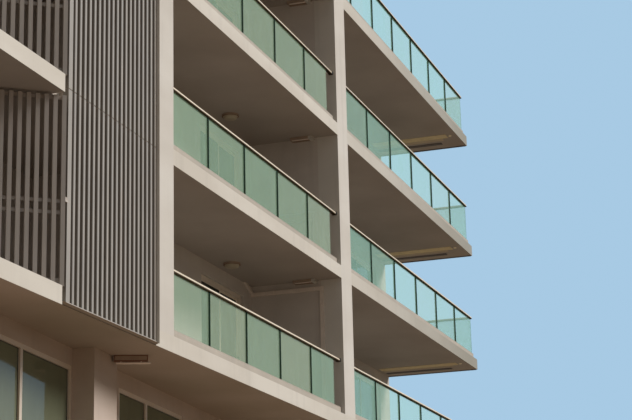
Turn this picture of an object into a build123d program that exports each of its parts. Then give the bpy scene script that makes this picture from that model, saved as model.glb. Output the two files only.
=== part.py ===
"""Apartment block with glass balconies, louvre screens and a two-storey base.

Working axes: X runs along the street front from its west end, Y runs from the
front plane into the building, Z runs up from the ground. Everything is in
millimetres. When a piece is written it is moved so that the origin lies at the
centre of the building's footprint, on the ground.
"""

from build123d import *
import math
import os

# Widths along the front, from west to east.
PILLAR = 562.0
DIVIDING_PILLAR = 686.0
SCREEN_BAY = 3112.0
RECESS_BAY = 5000.0
LEFT_BAY = 8724.0
RIGHT_BAY = 10843.0

# Depths from the front plane.
DEPTH = 12600.0
BALCONY_DEPTH = 2450.0
LEFT_BALCONY_DEPTH = 1980.0
PILLAR_DEPTH = 450.0

# Heights.
BASE_HEIGHT = 7070.0
STOREY = 3100.0
BALCONY_STOREYS = 3
SLAB = 270.0
GROUND_FLOOR = 150.0
FIRST_FLOOR = 3600.0
FIRST_FLOOR_SLAB = 200.0
PARAPET_HEIGHT = 1100.0

# Walls.
OUTER_WALL = 250.0
BALCONY_WALL = 200.0
DIVIDING_WALL = 250.0
PARAPET = 200.0

# Base storeys: their front wall is turned in plan against the balconies' fronts.
BASE_TURN = 4.4
BASE_WEST_SETBACK = 400.0
PIER_PROUD = 360.0
PIER_WIDTH = 985.0
PIER_OFFSET = 12.0
EAST_PIER_END = 60.0

# Base windows, two panes each: they fill their bays but for these walls.
BASE_WINDOW_HEIGHT = 2400.0
BASE_WINDOW_HEAD = 272.0
BASE_WINDOW_EDGE = 1030.0
BASE_WINDOW_GAP = 740.0
BASE_WINDOW_END = 130.0
BASE_WINDOW_SPLIT = 0.42
BASE_FRAME_SETBACK = 10.0
EAST_CORNER_WALL = 1523.0
RECESS_WINDOW_EDGE = 20.0
ENTRANCE_SIDE = 918.0
ENTRANCE_WIDTH = 2000.0
ENTRANCE_HEIGHT = 2600.0

# Windows of the rear and of the east end.
REAR_WINDOWS = 6
REAR_WINDOW_WIDTH = 2400.0
REAR_WINDOW_HEIGHT = 1500.0
REAR_SILL = 900.0
END_WINDOW_WIDTH = 1600.0
STAIR_WINDOW_WIDTH = 640.0

# Sliding doors between the rooms and the balconies.
LEFT_DOOR_WIDTH = 2250.0
RIGHT_DOOR_WIDTH = 3000.0
DOOR_HEAD_GAP = 290.0
DOOR_THRESHOLD = 60.0
DOOR_EDGE = 520.0
DOOR_CORNER = 870.0

# Frames and panes.
FRAME_FACE = 70.0
FRAME_DEPTH = 100.0
FRAME_SETBACK = 60.0
MULLION = 90.0
EVEN_SPLIT = 0.5
PANE = 24.0
LEAF_FACE = 55.0
LEAF_DEPTH = 40.0
LEAF_GAP = 6.0

# Glass balustrades.
RAIL_TOP = 1410.0
RAIL_WIDTH = 70.0
RAIL_HEIGHT = 45.0
RAIL_ROUND = 10.0
RAIL_GROOVE = 18.0
GLASS_SETBACK = 110.0
GLASS = 14.0
GLASS_FIT = 2.0
GLASS_JOINT = 24.0
GLASS_END_GAP = 360.0
KERB_HEIGHT = 100.0
KERB_WIDTH = 70.0
KERB_GROOVE = 40.0
PANEL_LEFT = 1735.0
PANEL_RIGHT = 1805.0
PANEL_ROOF = 1640.0

# Louvre screens that stand in front of the slabs.
SLAT_WIDTH = 72.0
SLAT_DEPTH = 90.0
SLAT_NOSE = 8.0
SLAT_PITCH = 158.5
SLAT_SETBACK = 55.0
SCREEN_RAIL_DEPTH = 60.0
SCREEN_RAIL_HEIGHT = 220.0
SCREEN_SPLICE = 14.0
SCREEN_SLOT_EXTRA = 222.0
SCREEN_SILL = 50.0
SCREEN_TRAY = 28.0
SCREEN_TRAY_LIP = 12.0
CORNER_POST = 120.0

# Angled screens that run back from the ledges.
ANGLE_SCREEN_START = 30.0
ANGLE_SCREEN_WEST = 135.0
ANGLE_SCREEN_TURN = 51.4
ANGLE_SLAT_WIDTH = 62.0
ANGLE_SLAT_DEPTH = 60.0
ANGLE_SLAT_PITCH = 127.0
ANGLE_TOP_GAP = 40.0
ANGLE_RAIL = 50.0
ANGLE_RAIL_DEPTH = 30.0
ANGLE_FOOT_RAIL = 70.0
ANGLE_MID_RAILS = (1045.0, 1210.0)

# Fittings.
BOX_LIGHT_LENGTH = 480.0
BOX_LIGHT_WIDTH = 200.0
BOX_LIGHT_HEIGHT = 60.0
BOX_LIGHT_START = 520.0
LIGHT_RIM = 12.0
ROUND_LIGHT_RADIUS = 170.0
ROUND_LIGHT_HEIGHT = 40.0
ROUND_LIGHT_FROM_WALL = 2120.0
ROUND_LIGHT_DEPTH = 1590.0
BATTEN_LENGTH = 530.0
BATTEN_WIDTH = 110.0
BATTEN_HEIGHT = 95.0
BATTEN_TURN = 114.0
BATTEN_WEST = 98.0
BATTEN_BACK = 697.0
TRUNKING = 80.0
TRUNKING_PROUD = 40.0
TRUNKING_DROP = 140.0
TRUNKING_FRONT = 470.0
TRUNKING_REACH = 500.0
SLOT_WIDTH = 350.0
SLOT_LENGTH = 1900.0
SLOT_DEPTH = 60.0
SLOT_FROM_END = 700.0
SLOT_FROM_FRONT = 450.0

# How far a cutter stands out of the slanted wall that it cuts.
CUT = 5.0

# Places that follow from the widths above.
WEST_SCREEN_X = PILLAR
RECESS_X = WEST_SCREEN_X + SCREEN_BAY
EAST_SCREEN_X = RECESS_X + RECESS_BAY
LEFT_PILLAR_X = EAST_SCREEN_X + SCREEN_BAY
LEFT_BAY_X = LEFT_PILLAR_X + PILLAR
RIGHT_PILLAR_X = LEFT_BAY_X + LEFT_BAY
RIGHT_BAY_X = RIGHT_PILLAR_X + DIVIDING_PILLAR
LENGTH = RIGHT_BAY_X + RIGHT_BAY
RECESS_MIDDLE = RECESS_X + RECESS_BAY / 2

# Heights that follow from the storeys. Level 0 is the first balcony slab.
ROOF_LEVEL = BALCONY_STOREYS
SLOT_BACK = SLAT_SETBACK + SLAT_DEPTH + SCREEN_RAIL_DEPTH
FRONT_WALL_BACK = BALCONY_DEPTH + BALCONY_WALL
REAR_FACE = DEPTH - OUTER_WALL

# Places along the base's front wall, measured on its face from the west end.
BASE_SLOPE = math.radians(BASE_TURN)
BASE_LENGTH = LENGTH / math.cos(BASE_SLOPE)
WEST_PIER = 0.0
LEFT_PIER = (LEFT_BAY_X - PIER_OFFSET - PIER_WIDTH) / math.cos(BASE_SLOPE)
RIGHT_PIER = (RIGHT_BAY_X - PIER_OFFSET - PIER_WIDTH) / math.cos(BASE_SLOPE)
EAST_PIER = BASE_LENGTH - EAST_PIER_END - PIER_WIDTH
PIERS = (WEST_PIER, LEFT_PIER, RIGHT_PIER, EAST_PIER)

LEVEL_NAMES = ("first", "second", "third", "roof")


def level_z(level):
    """Height of the underside of the slab at this level."""
    return BASE_HEIGHT + level * STOREY


def floor_z(level):
    """Height of the top of the slab at this level."""
    return level_z(level) + SLAB


def block(x0, x1, y0, y1, z0, z1):
    """A box between two corners."""
    centre = Pos((x0 + x1) / 2, (y0 + y1) / 2, (z0 + z1) / 2)
    return centre * Box(x1 - x0, y1 - y0, z1 - z0)


def plate(outline, z0, z1):
    """A flat piece with the given outline in plan."""
    edge = Polyline(*outline, close=True)
    face = make_face(Plane.XY * edge)
    return Pos(0, 0, z0) * extrude(face, amount=z1 - z0, dir=(0, 0, 1))


def mirrored_about(shape, x):
    """The same piece on the other side of the plane at x."""
    return mirror(shape, about=Plane.YZ.offset(x))


def save(name, solids):
    """Write one node, moved to the building's own origin."""
    to_origin = Pos(-LENGTH / 2, -DEPTH / 2, 0)
    moved = [to_origin * solid for solid in solids]
    shape = moved[0] if len(moved) == 1 else Compound(children=moved)
    export_step(shape, f"parts/{name}.step")


def screen_slots():
    """West and east ends of the slots that the louvre screens stand in."""
    west = (WEST_SCREEN_X, RECESS_X + SCREEN_SLOT_EXTRA)
    east = (EAST_SCREEN_X - SCREEN_SLOT_EXTRA, LEFT_PILLAR_X)
    return [west, east]


def pillar_spans():
    """West and east faces of the three pillars."""
    return [
        (0, PILLAR),
        (LEFT_PILLAR_X, LEFT_BAY_X),
        (RIGHT_PILLAR_X, RIGHT_BAY_X),
    ]


def balcony_slab(level):
    """One slab: screens and pillars pass it, and its east end has a slot.

    The lowest slab keeps a sill under the screens and carries the pillars.
    """
    slab = block(0, LENGTH, 0, DEPTH, level_z(level), floor_z(level))
    sill = SCREEN_SILL if level == 0 else 0
    for x0, x1 in screen_slots():
        slab -= block(x0, x1, 0, SLOT_BACK, level_z(level) + sill, floor_z(level))
    if level > 0:
        for x0, x1 in pillar_spans():
            slab -= block(x0, x1, 0, PILLAR_DEPTH, level_z(level), floor_z(level))
    slot_x = LENGTH - SLOT_FROM_END - SLOT_WIDTH
    slot_end = SLOT_FROM_FRONT + SLOT_LENGTH
    slot_top = level_z(level) + SLOT_DEPTH
    slab -= block(slot_x, slot_x + SLOT_WIDTH, SLOT_FROM_FRONT, slot_end, level_z(level), slot_top)
    return slab


def base_place():
    """Axes of the base's front wall: X along its face from the west end, Y into it."""
    return Pos(0, BASE_WEST_SETBACK, 0) * Rot(0, 0, BASE_TURN)


def base_y(x, depth):
    """Y at this X of the plane that lies this deep in the base's front wall."""
    return BASE_WEST_SETBACK + x * math.tan(BASE_SLOPE) + depth / math.cos(BASE_SLOPE)


def behind_base_wall(x0, x1):
    """Plan from the back of the base's front wall to the rear wall."""
    return [
        (x0, base_y(x0, OUTER_WALL)),
        (x1, base_y(x1, OUTER_WALL)),
        (x1, REAR_FACE),
        (x0, REAR_FACE),
    ]


def base_piers():
    """Four piers on the base's front wall, under the pillars and the east corner."""
    place = base_place()
    return [place * block(x, x + PIER_WIDTH, -PIER_PROUD, 0, 0, BASE_HEIGHT) for x in PIERS]


def base_rows():
    """Sill and head height of the two rows of base windows."""
    upper_head = BASE_HEIGHT - BASE_WINDOW_HEAD
    lower_head = FIRST_FLOOR - FIRST_FLOOR_SLAB - BASE_WINDOW_HEAD
    return [(head - BASE_WINDOW_HEIGHT, head) for head in (lower_head, upper_head)]


def base_bay_windows(x0, x1, end_wall):
    """West and east edges of the two windows between the piers at x0 and x1."""
    width = (x1 - x0 - BASE_WINDOW_EDGE - BASE_WINDOW_GAP - end_wall) / 2
    west = x0 + BASE_WINDOW_EDGE
    east = x1 - end_wall - width
    return [(x, x + width) for x in (west, east)]


def entrance_span():
    """West and east edges of the entrance, midway along the west bay."""
    middle = (PIER_WIDTH + LEFT_PIER) / 2
    return (middle - ENTRANCE_WIDTH / 2, middle + ENTRANCE_WIDTH / 2)


def recess_windows():
    """West and east edges of the windows on both sides of the entrance."""
    door_x0, door_x1 = entrance_span()
    west = (PIER_WIDTH + RECESS_WINDOW_EDGE, door_x0 - ENTRANCE_SIDE)
    east = (door_x1 + ENTRANCE_SIDE, LEFT_PIER - RECESS_WINDOW_EDGE)
    return [west, east]


def holes_in_rows(spans, rows):
    """Every opening of a wall as (x0, x1, z0, z1)."""
    return [(x0, x1, z0, z1) for x0, x1 in spans for z0, z1 in rows]


RECESS_HOLES = holes_in_rows(recess_windows(), base_rows())
ENTRANCE_HOLE = (*entrance_span(), GROUND_FLOOR, GROUND_FLOOR + ENTRANCE_HEIGHT)
LEFT_BASE_WINDOWS = base_bay_windows(LEFT_PIER + PIER_WIDTH, RIGHT_PIER, BASE_WINDOW_END)
RIGHT_BASE_WINDOWS = base_bay_windows(RIGHT_PIER + PIER_WIDTH, EAST_PIER, EAST_CORNER_WALL)
LEFT_BASE_HOLES = holes_in_rows(LEFT_BASE_WINDOWS, base_rows())
RIGHT_BASE_HOLES = holes_in_rows(RIGHT_BASE_WINDOWS, base_rows())


def base_wall(x0, x1, holes):
    """Part of the base's front wall, its ends square to the building."""
    outline = [
        (x0, base_y(x0, 0)),
        (x1, base_y(x1, 0)),
        (x1, base_y(x1, OUTER_WALL)),
        (x0, base_y(x0, OUTER_WALL)),
    ]
    wall = plate(outline, 0, BASE_HEIGHT)
    place = base_place()
    for start, end, z0, z1 in holes:
        wall -= place * block(start, end, -CUT, OUTER_WALL + CUT, z0, z1)
    return wall


def behind_pier(start):
    """X of the middle of the pier that starts here, where two walls meet."""
    return (start + PIER_WIDTH / 2) * math.cos(BASE_SLOPE)


def wall_along_x(x0, x1, y0, thickness, z0, z1, holes):
    """A wall parallel to the front with openings cut through it."""
    wall = block(x0, x1, y0, y0 + thickness, z0, z1)
    for hx0, hx1, hz0, hz1 in holes:
        wall -= block(hx0, hx1, y0, y0 + thickness, hz0, hz1)
    return wall


def wall_along_y(x0, thickness, y0, y1, z0, z1, holes):
    """A wall square to the front with openings cut through it."""
    wall = block(x0, x0 + thickness, y0, y1, z0, z1)
    for hy0, hy1, hz0, hz1 in holes:
        wall -= block(x0, x0 + thickness, hy0, hy1, hz0, hz1)
    return wall


def rear_spans():
    """West and east edges of the rear windows of one storey."""
    pitch = LENGTH / REAR_WINDOWS
    middles = [pitch * (index + 0.5) for index in range(REAR_WINDOWS)]
    return [(x - REAR_WINDOW_WIDTH / 2, x + REAR_WINDOW_WIDTH / 2) for x in middles]


def sill_rows(floors):
    """Sill and head heights of plain windows above the given floors."""
    return [(z + REAR_SILL, z + REAR_SILL + REAR_WINDOW_HEIGHT) for z in floors]


def upper_floors():
    """Floor heights of the balcony storeys."""
    return [floor_z(level) for level in range(BALCONY_STOREYS)]


BASE_REAR_HOLES = holes_in_rows(rear_spans(), sill_rows([GROUND_FLOOR, FIRST_FLOOR]))


def end_window_span():
    """Front and rear edges of the east end's windows."""
    middle = (FRONT_WALL_BACK + REAR_FACE) / 2
    return (middle - END_WINDOW_WIDTH / 2, middle + END_WINDOW_WIDTH / 2)


def end_holes(floors):
    """Openings of the east end wall above the given floors."""
    return [(*end_window_span(), z0, z1) for z0, z1 in sill_rows(floors)]


def east_end_wall():
    """East end: one wall for the base and one for each storey above."""
    x0 = LENGTH - OUTER_WALL
    base = plate(behind_base_wall(x0, LENGTH), 0, BASE_HEIGHT)
    for hy0, hy1, hz0, hz1 in end_holes([GROUND_FLOOR, FIRST_FLOOR]):
        base -= block(x0, LENGTH, hy0, hy1, hz0, hz1)
    walls = [base]
    for level in range(BALCONY_STOREYS):
        z0 = floor_z(level)
        z1 = level_z(level + 1)
        holes = end_holes([z0])
        walls.append(wall_along_y(x0, OUTER_WALL, BALCONY_DEPTH, REAR_FACE, z0, z1, holes))
    return walls


def west_end_wall():
    """West end: a plain wall in the base and in each storey above."""
    walls = [plate(behind_base_wall(0, OUTER_WALL), 0, BASE_HEIGHT)]
    for level in range(BALCONY_STOREYS):
        z0 = floor_z(level)
        z1 = level_z(level + 1)
        walls.append(block(0, OUTER_WALL, PILLAR_DEPTH, REAR_FACE, z0, z1))
    return walls


def rear_wall(level):
    """Rear wall of one balcony storey."""
    z0 = floor_z(level)
    z1 = level_z(level + 1)
    holes = holes_in_rows(rear_spans(), sill_rows([z0]))
    return wall_along_x(0, LENGTH, REAR_FACE, OUTER_WALL, z0, z1, holes)


def door_rows(level):
    """Threshold and head height of the sliding doors of one storey."""
    return [(floor_z(level) + DOOR_THRESHOLD, level_z(level + 1) - DOOR_HEAD_GAP)]


def left_door_spans():
    """West and east edges of the left bay's two sliding doors."""
    west = LEFT_BAY_X + DOOR_EDGE
    east = RIGHT_PILLAR_X - DOOR_EDGE - LEFT_DOOR_WIDTH
    return [(x, x + LEFT_DOOR_WIDTH) for x in (west, east)]


def right_door_spans():
    """West and east edges of the right bay's two sliding doors."""
    west = RIGHT_PILLAR_X + DIVIDING_WALL + DOOR_EDGE
    east = LENGTH - DOOR_CORNER - RIGHT_DOOR_WIDTH
    return [(x, x + RIGHT_DOOR_WIDTH) for x in (west, east)]


def balcony_walls(level):
    """Back walls of the two balconies of one storey."""
    z0 = floor_z(level)
    z1 = level_z(level + 1)
    left_holes = holes_in_rows(left_door_spans(), door_rows(level))
    left = wall_along_x(
        LEFT_BAY_X, RIGHT_PILLAR_X, LEFT_BALCONY_DEPTH, BALCONY_WALL, z0, z1, left_holes
    )
    right_start = RIGHT_PILLAR_X + DIVIDING_WALL
    right_end = LENGTH - OUTER_WALL
    right_holes = holes_in_rows(right_door_spans(), door_rows(level))
    right = wall_along_x(right_start, right_end, BALCONY_DEPTH, BALCONY_WALL, z0, z1, right_holes)
    return [left, right]


def stair_window_span():
    """West and east edges of the narrow windows at the back of the recess."""
    return (RECESS_MIDDLE - STAIR_WINDOW_WIDTH / 2, RECESS_MIDDLE + STAIR_WINDOW_WIDTH / 2)


def recess_walls():
    """Back wall of the recess and the louvre bays, storey by storey."""
    walls = []
    for level in range(BALCONY_STOREYS):
        z0 = floor_z(level)
        z1 = level_z(level + 1)
        holes = holes_in_rows([stair_window_span()], sill_rows([z0]))
        wall = wall_along_x(OUTER_WALL, LEFT_BAY_X, BALCONY_DEPTH, BALCONY_WALL, z0, z1, holes)
        walls.append(wall)
    return walls


def dividing_walls(x0, back):
    """Walls that run back from a pillar between two bays, storey by storey."""
    spans = [(floor_z(level), level_z(level + 1)) for level in range(BALCONY_STOREYS)]
    return [block(x0, x0 + DIVIDING_WALL, PILLAR_DEPTH, back, z0, z1) for z0, z1 in spans]


def pillar(x0, x1):
    """A pillar of the front, from the first balcony slab to the roof."""
    return block(x0, x1, 0, PILLAR_DEPTH, floor_z(0), floor_z(ROOF_LEVEL))


def roof_parapet():
    """Solid parapet round the part of the roof that has no glass."""
    outline = [
        (LEFT_BAY_X, 0),
        (0, 0),
        (0, DEPTH),
        (LENGTH, DEPTH),
        (LENGTH, BALCONY_DEPTH),
        (LENGTH - PARAPET, BALCONY_DEPTH),
        (LENGTH - PARAPET, DEPTH - PARAPET),
        (PARAPET, DEPTH - PARAPET),
        (PARAPET, PARAPET),
        (LEFT_BAY_X, PARAPET),
    ]
    z0 = floor_z(ROOF_LEVEL)
    return plate(outline, z0, z0 + PARAPET_HEIGHT)


RETURN_X = LENGTH - GLASS_SETBACK


def angle_strip(x0, width, z0, z1):
    """A strip along the front from x0, turning back along the east end."""
    half = width / 2
    outline = [
        (x0, GLASS_SETBACK - half),
        (RETURN_X + half, GLASS_SETBACK - half),
        (RETURN_X + half, BALCONY_DEPTH),
        (RETURN_X - half, BALCONY_DEPTH),
        (RETURN_X - half, GLASS_SETBACK + half),
        (x0, GLASS_SETBACK + half),
    ]
    return plate(outline, z0, z1)


def straight_strip(x0, x1, width, z0, z1):
    """A strip along the front only."""
    half = width / 2
    return block(x0, x1, GLASS_SETBACK - half, GLASS_SETBACK + half, z0, z1)


def balustrade_starts(level):
    """X where the angled balustrade starts: the roof's has no pillar in it."""
    return LEFT_BAY_X if level == ROOF_LEVEL else RIGHT_BAY_X


def kerbs(level):
    """Kerb channels that hold the foot of the glass."""
    z0 = floor_z(level)
    z1 = z0 + KERB_HEIGHT
    groove = GLASS + 2 * GLASS_FIT
    groove_z = z1 - KERB_GROOVE
    x0 = balustrade_starts(level)
    parts = [angle_strip(x0, KERB_WIDTH, z0, z1) - angle_strip(x0, groove, groove_z, z1)]
    if level < ROOF_LEVEL:
        left = straight_strip(LEFT_BAY_X, RIGHT_PILLAR_X, KERB_WIDTH, z0, z1)
        left -= straight_strip(LEFT_BAY_X, RIGHT_PILLAR_X, groove, groove_z, z1)
        parts.append(left)
    return parts


def rounded_rail(blank):
    """Round the long upper edges of a handrail, but not its square ends."""
    upper = blank.edges().group_by(Axis.Z)[-1]
    long_edges = [edge for edge in upper if edge.length > RAIL_WIDTH + GLASS_FIT]
    return fillet(long_edges, RAIL_ROUND)


def handrails(level):
    """Handrails that cap the glass, with a groove along their underside."""
    z1 = level_z(level) + RAIL_TOP
    z0 = z1 - RAIL_HEIGHT
    groove = GLASS + 2 * GLASS_FIT
    x0 = balustrade_starts(level)
    rail = rounded_rail(angle_strip(x0, RAIL_WIDTH, z0, z1))
    parts = [rail - angle_strip(x0, groove, z0, z0 + RAIL_GROOVE)]
    if level < ROOF_LEVEL:
        left = rounded_rail(straight_strip(LEFT_BAY_X, RIGHT_PILLAR_X, RAIL_WIDTH, z0, z1))
        left -= straight_strip(LEFT_BAY_X, RIGHT_PILLAR_X, groove, z0, z0 + RAIL_GROOVE)
        parts.append(left)
    return parts


def panel_spans(start, end, pitch):
    """Ends of the glass panels between two places, with open joints."""
    count = max(1, math.ceil((end - start) / pitch - 0.02))
    edges = [start + index * pitch for index in range(count)] + [end]
    half = GLASS_JOINT / 2
    spans = []
    for index in range(count):
        low = edges[index] + (half if index > 0 else 0)
        high = edges[index + 1] - (half if index < count - 1 else 0)
        spans.append((low, high))
    return spans


def roof_panel_spans(start, end):
    """Roof panels are set out from the east end towards the west."""
    mirrored = panel_spans(-end, -start, PANEL_ROOF)
    return [(-high, -low) for low, high in reversed(mirrored)]


def balustrade_glass(level):
    """Glass panels of one level, seated in the kerb and in the handrail."""
    z0 = floor_z(level) + KERB_HEIGHT - KERB_GROOVE
    z1 = level_z(level) + RAIL_TOP - RAIL_HEIGHT + RAIL_GROOVE
    half = GLASS / 2
    corner = RETURN_X - half - GLASS_JOINT
    if level == ROOF_LEVEL:
        spans = roof_panel_spans(LEFT_BAY_X, corner)
    else:
        spans = panel_spans(RIGHT_BAY_X, corner, PANEL_RIGHT)
        spans += panel_spans(LEFT_BAY_X, RIGHT_PILLAR_X - GLASS_END_GAP, PANEL_LEFT)
    y0 = GLASS_SETBACK - half
    panels = [block(x0, x1, y0, y0 + GLASS, z0, z1) for x0, x1 in spans]
    return_middle = (GLASS_SETBACK + BALCONY_DEPTH) / 2
    joint = GLASS_JOINT / 2
    returns = [(y0, return_middle - joint), (return_middle + joint, BALCONY_DEPTH)]
    panels += [block(RETURN_X - half, RETURN_X + half, a, b, z0, z1) for a, b in returns]
    return panels


def slat_profile(x, y):
    """Section of a louvre slat: a box with two cut front corners."""
    half = SLAT_WIDTH / 2
    return [
        (x - half + SLAT_NOSE, y),
        (x + half - SLAT_NOSE, y),
        (x + half, y + SLAT_NOSE),
        (x + half, y + SLAT_DEPTH),
        (x - half, y + SLAT_DEPTH),
        (x - half, y + SLAT_NOSE),
    ]


def splice_z(level):
    """Height of the splice in the slats at this level."""
    return level_z(level) + SLAB / 2


def slat_lengths():
    """Lower and upper ends of the slats of each storey."""
    gap = SCREEN_SPLICE / 2
    ends = []
    for level in range(BALCONY_STOREYS):
        foot = level_z(0) + SCREEN_SILL + SCREEN_TRAY
        low = foot if level == 0 else splice_z(level) + gap
        last = level == BALCONY_STOREYS - 1
        high = floor_z(ROOF_LEVEL) if last else splice_z(level + 1) - gap
        ends.append((low, high))
    return ends


def slat_xs():
    """Middles of the slats of the east screen, set out from the pillar."""
    last = LEFT_PILLAR_X - SLAT_WIDTH / 2
    room = last - SLAT_WIDTH - EAST_SCREEN_X - CORNER_POST
    count = int(room // SLAT_PITCH) + 1
    return [last - index * SLAT_PITCH for index in range(count)]


def louvre_slats():
    """Slats of the east screen, and the wide post at its west edge."""
    slats = []
    for z0, z1 in slat_lengths():
        for x in slat_xs():
            slats.append(plate(slat_profile(x, SLAT_SETBACK), z0, z1))
        post_end = SLAT_SETBACK + SLAT_DEPTH
        slats.append(block(EAST_SCREEN_X, EAST_SCREEN_X + CORNER_POST, SLAT_SETBACK, post_end, z0, z1))
    return slats


def louvre_rails():
    """Rails that fix the east screen to the slab edges, and its foot tray."""
    y0 = SLAT_SETBACK + SLAT_DEPTH
    rails = []
    for level in range(1, BALCONY_STOREYS + 1):
        middle = level_z(level) + SLAB / 2
        z0 = middle - SCREEN_RAIL_HEIGHT / 2
        z1 = middle + SCREEN_RAIL_HEIGHT / 2
        rails.append(block(EAST_SCREEN_X, LEFT_PILLAR_X, y0, SLOT_BACK, z0, z1))
    return rails


def louvre_tray():
    """Foot tray of the east screen: a floor with an upstand at the front."""
    z0 = level_z(0) + SCREEN_SILL
    front = SLAT_SETBACK - SCREEN_TRAY_LIP
    section = [
        (front, z0),
        (SLOT_BACK, z0),
        (SLOT_BACK, z0 + SCREEN_TRAY / 2),
        (SLAT_SETBACK + SLAT_DEPTH, z0 + SCREEN_TRAY / 2),
        (SLAT_SETBACK + SLAT_DEPTH, z0 + SCREEN_TRAY),
        (SLAT_SETBACK, z0 + SCREEN_TRAY),
        (front, z0 + SCREEN_TRAY + SCREEN_TRAY_LIP),
    ]
    edge = Polyline(*section, close=True)
    face = make_face(Plane.YZ.offset(EAST_SCREEN_X) * edge)
    return extrude(face, amount=SCREEN_BAY, dir=(1, 0, 0))


def angled_frame(level):
    """Axes of the east angled screen: X along it, Y square to it, Z up."""
    start_x = EAST_SCREEN_X - ANGLE_SCREEN_WEST
    turn = 180 - ANGLE_SCREEN_TURN
    return Pos(start_x, ANGLE_SCREEN_START, floor_z(level)) * Rot(0, 0, turn)


def angled_length():
    """Length of an angled screen from its front end to the back wall."""
    run = BALCONY_DEPTH - ANGLE_SCREEN_START
    reach = ANGLE_RAIL_DEPTH + ANGLE_SLAT_DEPTH
    slope = math.radians(ANGLE_SCREEN_TURN)
    return run / math.sin(slope) - reach / math.tan(slope)


def angled_slats(level):
    """Upright slats of the east angled screen in one storey."""
    height = STOREY - SLAB - ANGLE_TOP_GAP
    count = int((angled_length() - ANGLE_SLAT_WIDTH) // ANGLE_SLAT_PITCH) + 1
    place = angled_frame(level)
    slats = []
    for index in range(count):
        x0 = index * ANGLE_SLAT_PITCH
        slats.append(place * block(x0, x0 + ANGLE_SLAT_WIDTH, 0, ANGLE_SLAT_DEPTH, 0, height))
    return slats


def angled_rails(level):
    """Rails behind the slats of the east angled screen in one storey."""
    height = STOREY - SLAB - ANGLE_TOP_GAP
    starts = (ANGLE_FOOT_RAIL, *ANGLE_MID_RAILS, height - ANGLE_RAIL)
    y0 = -ANGLE_RAIL_DEPTH
    place = angled_frame(level)
    return [place * block(0, angled_length(), y0, 0, z, z + ANGLE_RAIL) for z in starts]


def window_frame(x0, x1, y0, z0, z1, split):
    """A frame with one mullion, filling its opening."""
    frame = block(x0, x1, y0, y0 + FRAME_DEPTH, z0, z1)
    for p0, p1, q0, q1 in window_panes(x0, x1, z0, z1, split):
        frame -= block(p0, p1, y0, y0 + FRAME_DEPTH, q0, q1)
    return frame


def window_panes(x0, x1, z0, z1, split):
    """The two glazed fields of a window frame, the mullion at the split."""
    middle = x0 + (x1 - x0) * split
    low = z0 + FRAME_FACE
    high = z1 - FRAME_FACE
    west = (x0 + FRAME_FACE, middle - MULLION / 2, low, high)
    east = (middle + MULLION / 2, x1 - FRAME_FACE, low, high)
    return [west, east]


def glazing(holes, y0, split):
    """Panes for the windows in the given openings."""
    pane_y = y0 + (FRAME_DEPTH - PANE) / 2
    panes = []
    for x0, x1, z0, z1 in holes:
        for p0, p1, q0, q1 in window_panes(x0, x1, z0, z1, split):
            panes.append(block(p0, p1, pane_y, pane_y + PANE, q0, q1))
    return panes


def frames(holes, y0, split):
    """Frames for the windows in the given openings."""
    return [window_frame(x0, x1, y0, z0, z1, split) for x0, x1, z0, z1 in holes]


def base_windows():
    """Frames and panes of the base's front windows and of its entrance."""
    place = base_place()
    frames_made = []
    panes = []
    windows = RECESS_HOLES + LEFT_BASE_HOLES + RIGHT_BASE_HOLES
    for holes, split in ((windows, BASE_WINDOW_SPLIT), ([ENTRANCE_HOLE], EVEN_SPLIT)):
        frames_made += [place * frame for frame in frames(holes, BASE_FRAME_SETBACK, split)]
        panes += [place * pane for pane in glazing(holes, BASE_FRAME_SETBACK, split)]
    return frames_made, panes


def rear_holes():
    """Every opening of the rear, from the ground to the top storey."""
    floors = [GROUND_FLOOR, FIRST_FLOOR] + upper_floors()
    return holes_in_rows(rear_spans(), sill_rows(floors))


def east_end_frames():
    """Frames of the east end's windows, turned from the front's axes."""
    floors = [GROUND_FLOOR, FIRST_FLOOR] + upper_floors()
    x0 = LENGTH - FRAME_SETBACK - FRAME_DEPTH
    frames_made = []
    panes = []
    y0, y1 = end_window_span()
    pane_x = x0 + (FRAME_DEPTH - PANE) / 2
    for z0, z1 in sill_rows(floors):
        frame = block(x0, x0 + FRAME_DEPTH, y0, y1, z0, z1)
        for p0, p1, q0, q1 in window_panes(y0, y1, z0, z1, EVEN_SPLIT):
            frame -= block(x0, x0 + FRAME_DEPTH, p0, p1, q0, q1)
            panes.append(block(pane_x, pane_x + PANE, p0, p1, q0, q1))
        frames_made.append(frame)
    return frames_made, panes


def stair_holes():
    """Narrow openings at the back of the recess."""
    return holes_in_rows([stair_window_span()], sill_rows(upper_floors()))


def single_frame(x0, x1, y0, depth, face, z0, z1):
    """A plain rectangular frame."""
    frame = block(x0, x1, y0, y0 + depth, z0, z1)
    frame -= block(x0 + face, x1 - face, y0, y0 + depth, z0 + face, z1 - face)
    return frame


def sliding_door(x0, x1, wall_y, z0, z1):
    """Outer frame, two leaves on two tracks, and the leaves' panes."""
    y0 = wall_y + FRAME_SETBACK
    outer = single_frame(x0, x1, y0, FRAME_DEPTH, FRAME_FACE, z0, z1)
    low = z0 + FRAME_FACE
    high = z1 - FRAME_FACE
    middle = (x0 + x1) / 2
    lap = LEAF_FACE / 2
    front_y = y0 + (FRAME_DEPTH - 2 * LEAF_DEPTH - LEAF_GAP) / 2
    rear_y = front_y + LEAF_DEPTH + LEAF_GAP
    leaves = []
    panes = []
    spans = [(x0 + FRAME_FACE, middle + lap, front_y), (middle - lap, x1 - FRAME_FACE, rear_y)]
    for a, b, y in spans:
        leaves.append(single_frame(a, b, y, LEAF_DEPTH, LEAF_FACE, low, high))
        pane_y = y + (LEAF_DEPTH - PANE) / 2
        pane = block(a + LEAF_FACE, b - LEAF_FACE, pane_y, pane_y + PANE, low + LEAF_FACE, high - LEAF_FACE)
        panes.append(pane)
    return outer, leaves, panes


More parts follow.
